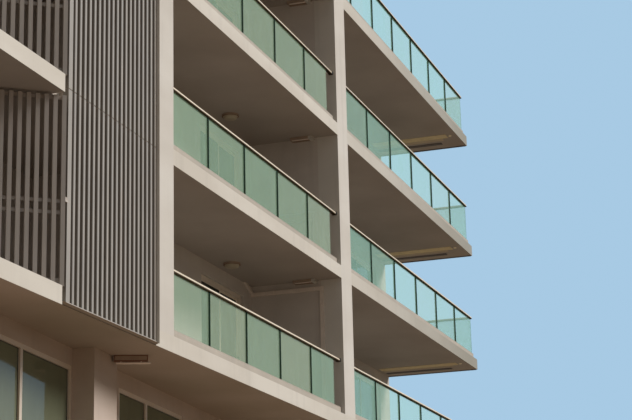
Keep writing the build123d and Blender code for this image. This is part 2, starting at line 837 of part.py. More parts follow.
def door_sets():
    """Sliding doors of the two balconies, each set with its wall's Y."""
    return [(left_door_spans(), LEFT_BALCONY_DEPTH), (right_door_spans(), BALCONY_DEPTH)]


def sliding_doors(level):
    """Outer frames, leaves and panes of one storey's sliding doors."""
    outers = []
    leaves = []
    panes = []
    for spans, wall_y in door_sets():
        for x0, x1, z0, z1 in holes_in_rows(spans, door_rows(level)):
            outer, door_leaves, door_panes = sliding_door(x0, x1, wall_y, z0, z1)
            outers.append(outer)
            leaves += door_leaves
            panes += door_panes
    return outers, leaves, panes


def light_housing(x0, x1, y0, y1, z0, z1):
    """A light's housing on a ceiling, open underneath."""
    housing = block(x0, x1, y0, y1, z0, z1)
    housing -= block(
        x0 + LIGHT_RIM, x1 - LIGHT_RIM, y0 + LIGHT_RIM, y1 - LIGHT_RIM, z0, z1 - LIGHT_RIM
    )
    return housing


def box_lights():
    """Box lights where the dividing wall of the left balconies meets the ceiling."""
    x1 = RIGHT_PILLAR_X
    x0 = x1 - BOX_LIGHT_WIDTH
    y0 = BOX_LIGHT_START
    y1 = y0 + BOX_LIGHT_LENGTH
    tops = [level_z(level + 1) for level in range(BALCONY_STOREYS)]
    return [light_housing(x0, x1, y0, y1, z - BOX_LIGHT_HEIGHT, z) for z in tops]


def round_lights():
    """Round lights on the ceilings of the left balconies."""
    lights = []
    for level in range(BALCONY_STOREYS):
        z = level_z(level + 1) - ROUND_LIGHT_HEIGHT / 2
        place = Pos(RIGHT_PILLAR_X - ROUND_LIGHT_FROM_WALL, ROUND_LIGHT_DEPTH, z)
        lights.append(place * Cylinder(ROUND_LIGHT_RADIUS, ROUND_LIGHT_HEIGHT))
    return lights


def base_batten_light():
    """Box light under the first balcony slab, set askew beside the left pier."""
    place = Pos(LEFT_BAY_X - BATTEN_WEST, BATTEN_BACK, 0) * Rot(0, 0, BATTEN_TURN)
    half_length = BATTEN_LENGTH / 2
    half_width = BATTEN_WIDTH / 2
    z0 = BASE_HEIGHT - BATTEN_HEIGHT
    housing = light_housing(-half_length, half_length, -half_width, half_width, z0, BASE_HEIGHT)
    return place * housing


def cable_trunking():
    """Trunking of the lowest left balcony: down the back wall from the ceiling
    to the corner, along the dividing wall, then down to the floor."""
    x1 = RIGHT_PILLAR_X
    x0 = x1 - TRUNKING_PROUD
    back = LEFT_BALCONY_DEPTH
    front = TRUNKING_FRONT - TRUNKING
    ceiling = level_z(1)
    top = ceiling - TRUNKING_DROP
    low = top - TRUNKING
    run = block(x0, x1, front, back, low, top)
    drop = block(x0, x1, front, TRUNKING_FRONT, floor_z(0), low)
    upper_reach = TRUNKING_REACH * TRUNKING_DROP / (TRUNKING_DROP + TRUNKING)
    slope = [(x1, low), (x1, top), (x1 - upper_reach, ceiling), (x1 - TRUNKING_REACH, ceiling)]
    edge = Polyline(*slope, close=True)
    face = make_face(Plane.XZ.offset(-back) * edge)
    leg = extrude(face, amount=TRUNKING_PROUD, dir=(0, -1, 0))
    return run + drop + leg


def write_structure():
    """Slabs, base, walls, pillars and parapet."""
    floor = behind_base_wall(OUTER_WALL, LENGTH - OUTER_WALL)
    save("ground_floor", [plate(floor, 0, GROUND_FLOOR)])
    save("first_floor", [plate(floor, FIRST_FLOOR - FIRST_FLOOR_SLAB, FIRST_FLOOR)])
    for level, name in enumerate(LEVEL_NAMES):
        save(f"{name}_slab", [balcony_slab(level)])
    save("base_piers", base_piers())
    first_joint = behind_pier(LEFT_PIER)
    second_joint = behind_pier(RIGHT_PIER)
    save("base_wall_recess", [base_wall(0, first_joint, RECESS_HOLES + [ENTRANCE_HOLE])])
    save("base_wall_left", [base_wall(first_joint, second_joint, LEFT_BASE_HOLES)])
    save("base_wall_right", [base_wall(second_joint, LENGTH, RIGHT_BASE_HOLES)])
    rear = wall_along_x(0, LENGTH, REAR_FACE, OUTER_WALL, 0, BASE_HEIGHT, BASE_REAR_HOLES)
    save("base_wall_rear", [rear])
    save("east_end_wall", east_end_wall())
    save("west_end_wall", west_end_wall())
    for level in range(BALCONY_STOREYS):
        name = LEVEL_NAMES[level]
        save(f"{name}_rear_wall", [rear_wall(level)])
        save(f"{name}_balcony_walls", balcony_walls(level))
    save("recess_walls", recess_walls())
    save("left_dividing_wall", dividing_walls(LEFT_BAY_X - DIVIDING_WALL, BALCONY_DEPTH))
    save("right_dividing_wall", dividing_walls(RIGHT_PILLAR_X, FRONT_WALL_BACK))
    for name, (x0, x1) in zip(("west", "left", "right"), pillar_spans()):
        save(f"{name}_pillar", [pillar(x0, x1)])
    save("roof_parapet", [roof_parapet()])


def write_balustrades():
    """Kerbs, glass and handrails of each level."""
    for level, name in enumerate(LEVEL_NAMES):
        save(f"{name}_kerb", kerbs(level))
        save(f"{name}_glass", balustrade_glass(level))
        save(f"{name}_handrail", handrails(level))


def both_sides(solids):
    """The given solids and their mirror images across the recess."""
    return solids + [mirrored_about(solid, RECESS_MIDDLE) for solid in solids]


def write_screens():
    """Louvre screens and angled screens on both sides of the recess."""
    slats = louvre_slats()
    save("east_louvre_slats", slats)
    save("west_louvre_slats", [mirrored_about(slat, RECESS_MIDDLE) for slat in slats])
    save("louvre_rails", both_sides(louvre_rails() + [louvre_tray()]))
    levels = range(BALCONY_STOREYS)
    angled = [slat for level in levels for slat in angled_slats(level)]
    save("east_angled_slats", angled)
    save("west_angled_slats", [mirrored_about(slat, RECESS_MIDDLE) for slat in angled])
    save("angled_rails", both_sides([rail for level in levels for rail in angled_rails(level)]))


def write_windows():
    """Frames, leaves and panes."""
    front_frames, front_panes = base_windows()
    save("base_window_frames", front_frames)
    save("base_window_glass", front_panes)
    rear_y = REAR_FACE + OUTER_WALL - FRAME_SETBACK - FRAME_DEPTH
    end_frames, end_panes = east_end_frames()
    save("rear_window_frames", frames(rear_holes(), rear_y, EVEN_SPLIT) + end_frames)
    save("rear_window_glass", glazing(rear_holes(), rear_y, EVEN_SPLIT) + end_panes)
    stair_y = BALCONY_DEPTH + FRAME_SETBACK
    save("stair_window_frames", frames(stair_holes(), stair_y, EVEN_SPLIT))
    save("stair_window_glass", glazing(stair_holes(), stair_y, EVEN_SPLIT))
    outers = []
    leaves = []
    panes = []
    for level in range(BALCONY_STOREYS):
        level_outers, level_leaves, level_panes = sliding_doors(level)
        outers += level_outers
        leaves += level_leaves
        panes += level_panes
    save("door_frames", outers)
    save("door_leaves", leaves)
    save("door_glass", panes)


def write_fittings():
    """Lights and trunking."""
    save("box_lights", box_lights())
    save("round_lights", round_lights())
    save("batten_light", [base_batten_light()])
    save("cable_trunking", [cable_trunking()])


def main():
    """Build every piece and write it."""
    os.makedirs("parts", exist_ok=True)
    write_structure()
    write_balustrades()
    write_screens()
    write_windows()
    write_fittings()


main()
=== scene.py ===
"""Looks of an apartment block with glass balconies and louvre screens.

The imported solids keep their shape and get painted, coated and glazed finishes.
Trim, fittings and fixings too fine for the solids are modelled here, in metres,
in the part's own frame: X along the front, Y into the building, Z up.
"""

import logging
import math
from dataclasses import dataclass, replace
from enum import Enum
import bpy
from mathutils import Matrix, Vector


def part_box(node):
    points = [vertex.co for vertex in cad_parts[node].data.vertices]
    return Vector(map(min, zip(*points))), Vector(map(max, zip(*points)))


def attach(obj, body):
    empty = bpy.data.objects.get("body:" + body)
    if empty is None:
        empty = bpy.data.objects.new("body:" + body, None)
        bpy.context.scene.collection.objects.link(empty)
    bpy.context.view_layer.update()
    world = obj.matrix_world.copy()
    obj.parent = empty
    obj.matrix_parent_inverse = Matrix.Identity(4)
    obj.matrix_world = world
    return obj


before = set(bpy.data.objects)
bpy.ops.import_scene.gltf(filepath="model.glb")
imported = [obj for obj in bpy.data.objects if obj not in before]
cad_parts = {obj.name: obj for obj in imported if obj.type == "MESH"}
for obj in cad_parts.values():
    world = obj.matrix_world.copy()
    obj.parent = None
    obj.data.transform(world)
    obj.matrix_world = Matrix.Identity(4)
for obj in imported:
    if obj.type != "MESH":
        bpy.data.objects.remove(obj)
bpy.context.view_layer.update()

from fnmatch import fnmatchcase
from typing import Callable, Hashable, Iterable, Optional, Union

import bmesh
import bpy
from mathutils import Matrix, Vector

Colour = tuple[float, float, float]
Size = tuple[float, float, float]
Operand = Union["Value", float, tuple]

LOG = logging.getLogger("apartment_block")
HALF_TURNED = 0.5  # of a unit normal: beyond this a face counts as level
FACING_FROM = 0.9  # of a unit normal: beyond this a face looks in a direction
SHARP_FROM = 0.6  # radians between faces: beyond this an edge is eased
SMOOTH_UP_TO = math.radians(35)
SAME_POINT = 1e-5  # metres between vertices that are one
MILLIMETRES = 1000
MADE: dict[str, bpy.types.Material] = {}


class Axis(Enum):
    """One of the three directions of the part's frame."""

    X = 0
    Y = 1
    Z = 2

    @property
    def unit(self) -> Vector:
        """The unit vector of this direction."""
        return Vector([1.0 if index == self.value else 0.0 for index in range(3)])


class NodeWord(Enum):
    """A word that the names of some nodes start with."""

    def __str__(self) -> str:
        """The word."""
        return self.value


class Level(NodeWord):
    """The slabs, from the lowest up, and what stands on each."""

    FIRST = "first"
    SECOND = "second"
    THIRD = "third"
    ROOF = "roof"


class Side(NodeWord):
    """The two screens."""

    WEST = "west"
    EAST = "east"


class Outlook(NodeWord):
    """The way in which a group of windows looks."""

    STREET = "base"
    YARD = "rear"

    @property
    def sign(self) -> int:
        """Which way along Y that is."""
        return -1 if self is Outlook.STREET else 1


STOREYS = (Level.FIRST, Level.SECOND, Level.THIRD)


class Pick(Enum):
    """What an edit selects."""

    FACES = "FACE"
    EDGES = "EDGE"


@dataclass(frozen=True)
class Pattern:
    """A cloudy pattern: its noise, and the range of the noise that shows."""

    scale: float
    detail: float
    stretch: Size
    low: float
    high: float


@dataclass(frozen=True)
class Detail:
    """How a piece is worked: a rim round its faces, how far they step out, its eased edges."""

    rim: float
    step: float
    edge: float


# Shader building


class Value:
    """What leaves a node's socket; arithmetic on numbers adds Math nodes."""

    def __init__(self, maker: "NodeMaker", socket: Optional[bpy.types.NodeSocket]) -> None:
        """Wraps one output socket."""
        self.maker = maker
        self.socket = socket

    def _math(self, operation: str, first: Operand, second: Operand) -> "Value":
        """Adds one Math node."""
        return self.maker.node("ShaderNodeMath", {"operation": operation}, {0: first, 1: second})

    def __add__(self, other: Operand) -> "Value":
        """Sum."""
        return self._math("ADD", self, other)

    def __radd__(self, other: Operand) -> "Value":
        """Reflected sum."""
        return self._math("ADD", other, self)

    def __sub__(self, other: Operand) -> "Value":
        """Difference."""
        return self._math("SUBTRACT", self, other)

    def __rsub__(self, other: Operand) -> "Value":
        """Reflected difference."""
        return self._math("SUBTRACT", other, self)

    def __mul__(self, other: Operand) -> "Value":
        """Product."""
        return self._math("MULTIPLY", self, other)

    def __rmul__(self, other: Operand) -> "Value":
        """Reflected product."""
        return self._math("MULTIPLY", other, self)

    def __gt__(self, other: Operand) -> "Value":
        """1 where this is greater, otherwise 0."""
        return self._math("GREATER_THAN", self, other)

    def __lt__(self, other: Operand) -> "Value":
        """1 where this is less, otherwise 0."""
        return self._math("LESS_THAN", self, other)

    def size(self) -> "Value":
        """The number without its sign."""
        return self._math("ABSOLUTE", self, 0.0)

    def floor(self) -> "Value":
        """The whole number below."""
        return self._math("FLOOR", self, 0.0)


class NodeMaker:
    """Adds and links the nodes of one shader tree."""

    def __init__(self, tree: bpy.types.NodeTree) -> None:
        """Empties the tree."""
        self.tree = tree
        self.tree.nodes.clear()

    def node(
        self,
        kind: str,
        settings: Optional[dict] = None,
        inputs: Optional[dict] = None,
        output: Union[int, str] = 0,
    ) -> Value:
        """Adds a node, its settings first and then its sockets.

        Args:
            kind: The node's type.
            settings: Properties by name.
            inputs: Values or links by socket name or index.
            output: The socket to return.

        Returns:
            The wanted output.
        """
        made = self.tree.nodes.new(kind)
        for name, value in (settings or {}).items():
            setattr(made, name, value)
        for key, value in (inputs or {}).items():
            if isinstance(value, Value):
                self.tree.links.new(value.socket, made.inputs[key])
            else:
                made.inputs[key].default_value = value
        return Value(self, made.outputs[output] if len(made.outputs) else None)

    def place(self) -> Value:
        """Object coordinates, in metres."""
        return self.node("ShaderNodeTexCoord", output="Object")

    def split(self, vector: Value, axis: Axis) -> Value:
        """One component of a vector."""
        return self.node("ShaderNodeSeparateXYZ", inputs={0: vector}, output=axis.value)

    def facing(self, axis: Axis) -> Value:
        """One component of the surface normal."""
        normal = self.node("ShaderNodeNewGeometry", output="Normal")
        return self.split(normal, axis)

    def stretched(self, factors: Size) -> Value:
        """Object coordinates multiplied component by component."""
        settings = {"operation": "MULTIPLY"}
        return self.node("ShaderNodeVectorMath", settings, {0: self.place(), 1: factors})

    def noise(self, scale: float, detail: float = 3.0, factors: Size = (1, 1, 1)) -> Value:
        """Cloudy variation between 0 and 1."""
        inputs = {"Vector": self.stretched(factors), "Scale": scale, "Detail": detail}
        return self.node("ShaderNodeTexNoise", inputs=inputs)

    def ramp(self, value: Value, low: float, high: float) -> Value:
        """Maps low to high onto 0 to 1, clamped."""
        inputs = {"Value": value, "From Min": low, "From Max": high}
        return self.node("ShaderNodeMapRange", {"clamp": True}, inputs)

    def pattern(self, wanted: Pattern) -> Value:
        """A cloudy pattern, the range that shows mapped onto 0 to 1."""
        noise = self.noise(wanted.scale, wanted.detail, wanted.stretch)
        return self.ramp(noise, wanted.low, wanted.high)

    def blend(self, factor: Operand, first: Operand, second: Operand) -> Value:
        """Mixes two colours."""
        inputs = {0: factor, 6: self._colour(first), 7: self._colour(second)}
        return self.node("ShaderNodeMix", {"data_type": "RGBA"}, inputs, output=2)

    def _colour(self, value: Operand) -> Operand:
        """Adds the fourth number to a plain colour."""
        return (*value, 1.0) if isinstance(value, tuple) else value

    def bump(self, height: Value, strength: float, distance: float) -> Value:
        """A normal from a height."""
        inputs = {"Strength": strength, "Distance": distance, "Height": height}
        return self.node("ShaderNodeBump", inputs=inputs, output="Normal")

    def surface(self, sockets: dict) -> None:
        """Ends the tree in a principled surface with the given sockets."""
        shader = self.node("ShaderNodeBsdfPrincipled", inputs=sockets)
        self.node("ShaderNodeOutputMaterial", inputs={"Surface": shader})


@dataclass(frozen=True)
class Finish:
    """A finish of one kind of surface."""

    name: str
    slot: str
    colour: Colour

    def material(self) -> bpy.types.Material:
        """The finish as a material, made the first time it is asked for.

        Returns:
            The material, the same one each time.
        """
        if self.name not in MADE:
            made = bpy.data.materials.new(self.name)
            made.use_nodes = True
            self.paint(NodeMaker(made.node_tree))
            MADE[self.name] = made
        return MADE[self.name]

    def paint(self, maker: NodeMaker) -> None:
        """Adds the nodes of this finish."""
        raise NotImplementedError

    def shaded(self, factor: float) -> Colour:
        """The finish's colour made darker or lighter."""
        return tuple(min(1.0, part * factor) for part in self.colour)


@dataclass(frozen=True)
class PaintedRender(Finish):
    """Smooth render under matt paint, clouded by age and streaked by rain; undersides and east end
    get painted shade.
    """

    cloud: Colour
    # Colours of faces that look down: painted shade, darker and warmer than the lit faces.
    underside_shade: Optional[Colour] = None
    underside_shade_cloud: Optional[Colour] = None
    floor: Optional[Colour] = None
    # Painted shade: a darker colour that the render turns to towards the east end.
    east_end: Optional[Colour] = None
    streaks: float = 0.35
    streak_shade: float = 0.72
    specks: float = 0.16
    speck_shade: float = 0.8
    # Where along X the painted east-end shade starts and where it is full, and how far noise moves
    # it.
    east_shade_from: float = 5.0
    east_shade_full_at: float = 17.0
    east_shade_wander: float = 3.0
    trowel: float = 0.6
    grain: float = 0.25
    roughness: float = 0.72

    def paint(self, maker: NodeMaker) -> None:
        """Clouds, rain streaks, trowel marks, a fine grain, and painted shade below and to the
        east.

        Args:
            maker: Makes the material's nodes.
        """
        clouds = maker.pattern(CLOUDS)
        colour = maker.blend(clouds, self.colour, self.cloud)
        streaks = maker.pattern(RAIN_RUNS) * self.streaks
        colour = maker.blend(streaks, colour, self.shaded(self.streak_shade))
        specks = maker.pattern(SPECKS) * self.specks
        colour = maker.blend(specks, colour, self.shaded(self.speck_shade))
        # Painted shade: the render darkens towards the east end along X.
        if self.east_end:
            along = maker.split(maker.place(), Axis.X) + self.east_shade_wander * maker.noise(0.35, 2.0)
            darkening = maker.ramp(along, self.east_shade_from, self.east_shade_full_at)
            colour = maker.blend(darkening, colour, self.east_end)
        # Painted shade: faces that look down take the darker underside colours.
        if self.underside_shade:
            shaded_underside = maker.blend(maker.pattern(PATCHES), self.underside_shade, self.underside_shade_cloud)
            colour = maker.blend(maker.facing(Axis.Z) < -HALF_TURNED, colour, shaded_underside)
        if self.floor:
            colour = maker.blend(maker.facing(Axis.Z) > HALF_TURNED, colour, self.floor)
        height = maker.noise(3.0) * self.trowel + maker.noise(160.0, 2.0) * self.grain
        maker.surface({
            "Base Color": colour,
            "Roughness": self.roughness + 0.2 * clouds,
            "Normal": maker.bump(height, 0.35, 0.004),
        })


@dataclass(frozen=True)
class PowderCoat(Finish):
    """Coated metal with a fine orange-peel skin and dust that settles in runs."""

    metallic: float = 0.0
    roughness: float = 0.42
    dust: float = 0.3
    gloss: float = 0.4
    # Painted shade: the factor by which faces that look along X are darkened.
    side: float = 1.0
    drift_shade: float = 0.88
    dust_shade: float = 1.25

    def paint(self, maker: NodeMaker) -> None:
        """Slight shifts of tone, dusty runs, an orange-peel skin, and painted shade on the sides.

        Args:
            maker: Makes the material's nodes.
        """
        colour = maker.blend(maker.pattern(DRIFT), self.colour, self.shaded(self.drift_shade))
        runs = maker.pattern(DUST_RUNS)
        colour = maker.blend(runs * self.dust, colour, self.shaded(self.dust_shade))
        # Painted shade on the faces that look along X.
        if self.side < 1.0:
            shaded_sides = maker.facing(Axis.X).size() > 0.7
            colour = maker.blend(shaded_sides, colour, self.shaded(self.side))
        maker.surface({
            "Base Color": colour,
            "Metallic": self.metallic,
            "Roughness": self.roughness + 0.18 * runs,
            "Specular IOR Level": self.gloss,
            "Normal": maker.bump(maker.noise(420.0, 1.0), 0.12, 0.001),
        })


@dataclass(frozen=True)
class SheetGlass(Finish):
    """Tinted glass whose polished faces are clear and whose edges are deep green."""

    edge: Colour = (0.02, 0.10, 0.07)
    clearness: float = 0.5
    roughness: float = 0.03
    gloss: float = 0.5
    panes: float = 0.0
    warm: Colour = (0.84, 0.90, 0.62)
    # Painted sky colour of the east panes, standing for the sky seen through them.
    sky_tint: Colour = (0.51, 0.93, 0.72)
    band_shade: float = 0.82
    west_panes: tuple[float, float] = (-3.9525, 1.735)
    east_panes: tuple[float, float] = (5.4575, 1.805)
    storey: float = 3.1

    def paint(self, maker: NodeMaker) -> None:
        """Faint bands of tint, a film of dust, dark edges, and a painted sky colour on east panes.

        Args:
            maker: Makes the material's nodes.
        """
        bands = maker.pattern(TINT_BANDS)
        colour = maker.blend(bands, self.colour, self.shaded(self.band_shade))
        film = maker.pattern(DUST_FILM)
        if self.panes:
            # Painted sky: panes east of the east run take the sky colour.
            east = maker.split(maker.place(), Axis.X) > self.east_panes[0]
            colour = maker.blend(east, colour, self.sky_tint)
            share = self._shade_of_pane(maker) * self.panes * (1.0 - east * 0.5)
            colour = maker.blend(share, colour, self.warm)
        rim = maker.facing(Axis.Z).size() > HALF_TURNED
        alpha = (1.0 - self.clearness) + 0.06 * film + 0.04 * bands
        maker.surface({
            "Base Color": maker.blend(rim, colour, self.edge),
            "Roughness": self.roughness + 0.08 * film,
            "Alpha": alpha + rim * self.clearness,
            "Specular IOR Level": self.gloss,
        })

    def _shade_of_pane(self, maker: NodeMaker) -> Value:
        """A number between 0 and 1 for each pane, the same all over it.

        Args:
            maker: Makes the material's nodes.

        Returns:
            The number.
        """
        x = maker.split(maker.place(), Axis.X)
        storey = (maker.split(maker.place(), Axis.Z) * (1.0 / self.storey)).floor() * 7.0
        (west_start, west_pitch), (east_start, east_pitch) = self.west_panes, self.east_panes
        west = ((x - west_start) * (1.0 / west_pitch)).floor()
        east = ((x - east_start) * (1.0 / east_pitch)).floor() + 30.0
        beyond = x > east_start
        number = storey + west * (1.0 - beyond) + east * beyond
        return maker.node("ShaderNodeTexWhiteNoise", {"noise_dimensions": "1D"}, {"W": number})


@dataclass(frozen=True)
class Tiles(Finish):
    """Square tiles with sunk joints, each a shade of its own."""

    joint: Colour = (0.2, 0.19, 0.18)
    side: float = 0.6
    gap: float = 0.006
    tile_shade: float = 0.86
    stain: float = 0.35
    stain_shade: float = 0.6

    def paint(self, maker: NodeMaker) -> None:
        """Tiles, joints, stains and a slightly rough face.

        Args:
            maker: Makes the material's nodes.
        """
        settings = {"offset": 0.0, "squash": 1.0}
        inputs = {
            "Vector": maker.place(),
            "Color1": (*self.colour, 1.0),
            "Color2": (*self.shaded(self.tile_shade), 1.0),
            "Mortar": (*self.joint, 1.0),
            "Scale": 1.0,
            "Mortar Size": self.gap,
            "Brick Width": self.side,
            "Row Height": self.side,
        }
        tiles = maker.node("ShaderNodeTexBrick", settings, inputs, output="Color")
        joints = maker.node("ShaderNodeTexBrick", settings, inputs, output="Fac")
        stains = maker.pattern(STAINS)
        maker.surface({
            "Base Color": maker.blend(stains * self.stain, tiles, self.shaded(self.stain_shade)),
            "Roughness": 0.55 + 0.2 * stains,
            "Normal": maker.bump(maker.noise(90.0, 2.0) * 0.2 - joints, 0.4, 0.004),
        })


@dataclass(frozen=True)
class Moulded(Finish):
    """Moulded plastic or rubber with a faint matt skin."""

    roughness: float = 0.5
    age: float = 0.25
    gloss: float = 0.5
    glow: float = 0.0
    worn_shade: float = 0.75

    def paint(self, maker: NodeMaker) -> None:
        """A skin of fine grain and uneven yellowing.

        Args:
            maker: Makes the material's nodes.
        """
        darkening = maker.pattern(WEAR)
        maker.surface({
            "Base Color": maker.blend(darkening * self.age, self.colour, self.shaded(self.worn_shade)),
            "Roughness": self.roughness + 0.15 * darkening,
            "Specular IOR Level": self.gloss,
            "Emission Color": (*self.colour, 1.0),
            "Emission Strength": self.glow,
            "Normal": maker.bump(maker.noise(500.0, 1.0), 0.08, 0.001),
        })


CLOUDS = Pattern(0.9, 4.0, (0.5, 1.0, 1.6), 0.35, 0.65)
RAIN_RUNS = Pattern(5.0, 5.0, (1.0, 1.0, 0.07), 0.52, 0.78)
SPECKS = Pattern(38.0, 2.0, (1.0, 1.0, 1.0), 0.55, 0.75)
PATCHES = Pattern(0.55, 5.0, (1.0, 1.0, 1.0), 0.38, 0.62)
DRIFT = Pattern(1.7, 3.0, (1.0, 1.0, 1.0), 0.3, 0.7)
DUST_RUNS = Pattern(14.0, 4.0, (1.0, 1.0, 0.05), 0.5, 0.8)
TINT_BANDS = Pattern(0.8, 4.0, (1.2, 1.2, 0.35), 0.3, 0.7)
DUST_FILM = Pattern(6.0, 4.0, (1.0, 1.0, 0.3), 0.5, 0.8)
STAINS = Pattern(1.3, 5.0, (1.0, 1.0, 1.0), 0.5, 0.75)
WEAR = Pattern(7.0, 3.0, (1.0, 1.0, 1.0), 0.4, 0.75)

# The slab's underside colours and its east-end colour are painted shade.
SLAB = PaintedRender(
    "slab_paint", "slab_render", (0.715, 0.66, 0.58), (0.655, 0.60, 0.525),
    underside_shade=(0.465, 0.405, 0.355), underside_shade_cloud=(0.41, 0.35, 0.305),
    floor=(0.40, 0.38, 0.36), east_end=(0.34, 0.32, 0.27),
)
# The lowest slab's underside colours are its own painted shade.
LOWEST_SLAB = replace(
    SLAB, name="lowest_slab_paint", underside_shade=(0.485, 0.39, 0.325), underside_shade_cloud=(0.43, 0.34, 0.27)
)
PILLAR = PaintedRender("pillar_paint", "pillar_render", (0.70, 0.65, 0.585), (0.65, 0.60, 0.54))
BALCONY_WALL = PaintedRender(
    "balcony_render", "wall_render", (0.65, 0.58, 0.52), (0.57, 0.505, 0.455)
)
OUTER_WALL = PaintedRender("outer_render", "wall_render", (0.60, 0.55, 0.49), (0.53, 0.48, 0.43))
BASE_WALL = PaintedRender("base_render", "wall_render", (0.62, 0.50, 0.42), (0.52, 0.41, 0.33))
CONCRETE = PaintedRender(
    "bare_concrete", "floor_concrete", (0.36, 0.35, 0.34), (0.30, 0.29, 0.28)
)
COVER = PaintedRender("slot_cover_paint", "slab_render", (0.62, 0.51, 0.36), (0.55, 0.44, 0.31))
# The slats' faces that look along X get painted shade.
LOUVRE = PowderCoat("louvre_coat", "louvre_metal", (0.41, 0.365, 0.315), side=0.62)
ANGLED_SLAT = PowderCoat("angled_slat_coat", "louvre_metal", (0.485, 0.42, 0.365))
SCREEN_RAIL = PowderCoat("screen_rail_coat", "louvre_metal", (0.50, 0.43, 0.37))
# Painted shadow: dark brown strips for the shadows under the screens' feet.
SCREEN_SHADOW = PowderCoat(
    "painted_screen_shadow", "louvre_metal", (0.125, 0.085, 0.055), roughness=0.7, dust=0.2, gloss=0.0
)
HANDRAIL = PowderCoat(
    "handrail_coat", "handrail", (0.95, 0.82, 0.64), roughness=0.4, dust=0.1, gloss=0.25
)
KERB = PowderCoat(
    "kerb_coat", "kerb_channel", (0.53, 0.465, 0.39), roughness=0.55, dust=0.35, gloss=0.2
)
WINDOW_FRAME = PowderCoat(
    "window_frame_coat", "window_frame", (0.80, 0.69, 0.57), roughness=0.4, dust=0.2
)
BASE_FRAME = replace(WINDOW_FRAME, name="base_frame_coat", colour=(0.80, 0.67, 0.54), dust=0.1)
BRACKET = PowderCoat(
    "bracket_coat", "handrail", (0.10, 0.095, 0.09), metallic=0.4, roughness=0.4, dust=0.2
)
# panes also turns on the painted sky colour of the east panes.
GUARD_GLASS = SheetGlass(
    "guard_glass", "balustrade_glass", (0.56, 0.89, 0.60), clearness=0.76, panes=0.5
)
WINDOW_GLASS = SheetGlass(
    "pane_glass", "window_glass", (0.22, 0.24, 0.155), clearness=0.18, gloss=0.25
)
DOOR_GLASS = SheetGlass("door_glass", "window_glass", (0.07, 0.08, 0.06), clearness=0.3)
TILE = Tiles("balcony_tiles", "floor_concrete", (0.42, 0.39, 0.36))
PAVER = Tiles(
    "roof_pavers", "floor_concrete", (0.46, 0.45, 0.43), joint=(0.16, 0.155, 0.15),
    side=0.5, gap=0.008,
)
SEAL = Moulded(
    "glass_seal", "balustrade_glass", (0.005, 0.024, 0.010), roughness=0.6, age=0.3, gloss=0.05
)
# Painted shade: dark brown for the seals under the handrails and the darker bands of the screens'
# painted shadows.
SHADE_RUBBER = Moulded(
    "painted_shade_rubber", "balustrade_glass", (0.070, 0.046, 0.025), roughness=0.65, age=0.3, gloss=0.05
)
GASKET = Moulded("window_gasket", "window_frame", (0.03, 0.03, 0.03), roughness=0.6, age=0.3)
WHITE_PLASTIC = Moulded("white_plastic", "light_housing", (0.62, 0.58, 0.52), roughness=0.45)
HOUSING = Moulded(
    "housing_paint", "light_housing", (0.42, 0.31, 0.235), roughness=0.5, age=0.3, gloss=0.2
)
TRIM_BROWN = Moulded(
    "housing_trim", "light_housing", (0.23, 0.12, 0.08), roughness=0.6, age=0.3, gloss=0.1
)
BOWL = Moulded(
    "light_bowl", "light_housing", (0.52, 0.44, 0.32), roughness=0.4, age=0.3, gloss=0.3
)
DIFFUSER = Moulded(
    "opal_diffuser", "light_housing", (0.84, 0.69, 0.56),
    roughness=0.25, age=0.2, gloss=0.4, glow=0.03,
)
# Painted light: a pale yellow strip for the warm glow on the soffit beside the lamp.
PAINTED_GLOW = Moulded(
    "painted_glow", "light_housing", (0.85, 0.70, 0.42), roughness=0.5, age=0.6, gloss=0.1
)
LIT_LAMP = Moulded(
    "lit_lamp", "light_housing", (0.84, 0.72, 0.50),
    roughness=0.4, age=0.2, gloss=0.3, glow=0.06,
)
# Dark grey for the drips; on the slot strips it is painted shade.
DRIP_AND_SLOT_SHADE = Moulded(
    "drip_and_slot_shade", "light_housing", (0.17, 0.155, 0.15), roughness=0.6, age=0.3, gloss=0.1
)
TRUNKING = Moulded(
    "trunking_paint", "trunking_plastic", (0.78, 0.67, 0.58), roughness=0.55, age=0.3
)


# Where the solids are


@dataclass(frozen=True)
class Box:
    """Lowest and highest corner of something, in the part's frame."""

    low: Vector
    high: Vector

    @property
    def size(self) -> Vector:
        """Extent along each axis."""
        return self.high - self.low

    @property
    def centre(self) -> Vector:
        """Middle of the box."""
        return (self.low + self.high) / 2

    def thin_axis(self) -> Axis:
        """The axis along which a pane or panel is thin."""
        extents = list(self.size)
        return Axis(extents.index(min(extents)))


def box_of(node: str) -> Box:
    """The box of a whole CAD node."""
    low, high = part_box(node)
    return Box(Vector(low), Vector(high))


def heading_of(node: str) -> float:
    """Degrees about Z, from -45 to 45, that a node's broadest upright face is turned.

    Args:
        node: The node's name.

    Returns:
        The degrees, 0 where the face looks along an axis.
    """
    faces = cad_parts[node].data.polygons
    upright = [face for face in faces if abs(face.normal.z) < HALF_TURNED]
    broadest = max(upright, key=lambda face: face.area)
    degrees = math.degrees(math.atan2(broadest.normal.x, -broadest.normal.y))
    return (degrees + 45.0) % 90.0 - 45.0


def spun(degrees: float) -> Matrix:
    """A turn about the building's upright axis."""
    return Matrix.Rotation(math.radians(degrees), 4, "Z")


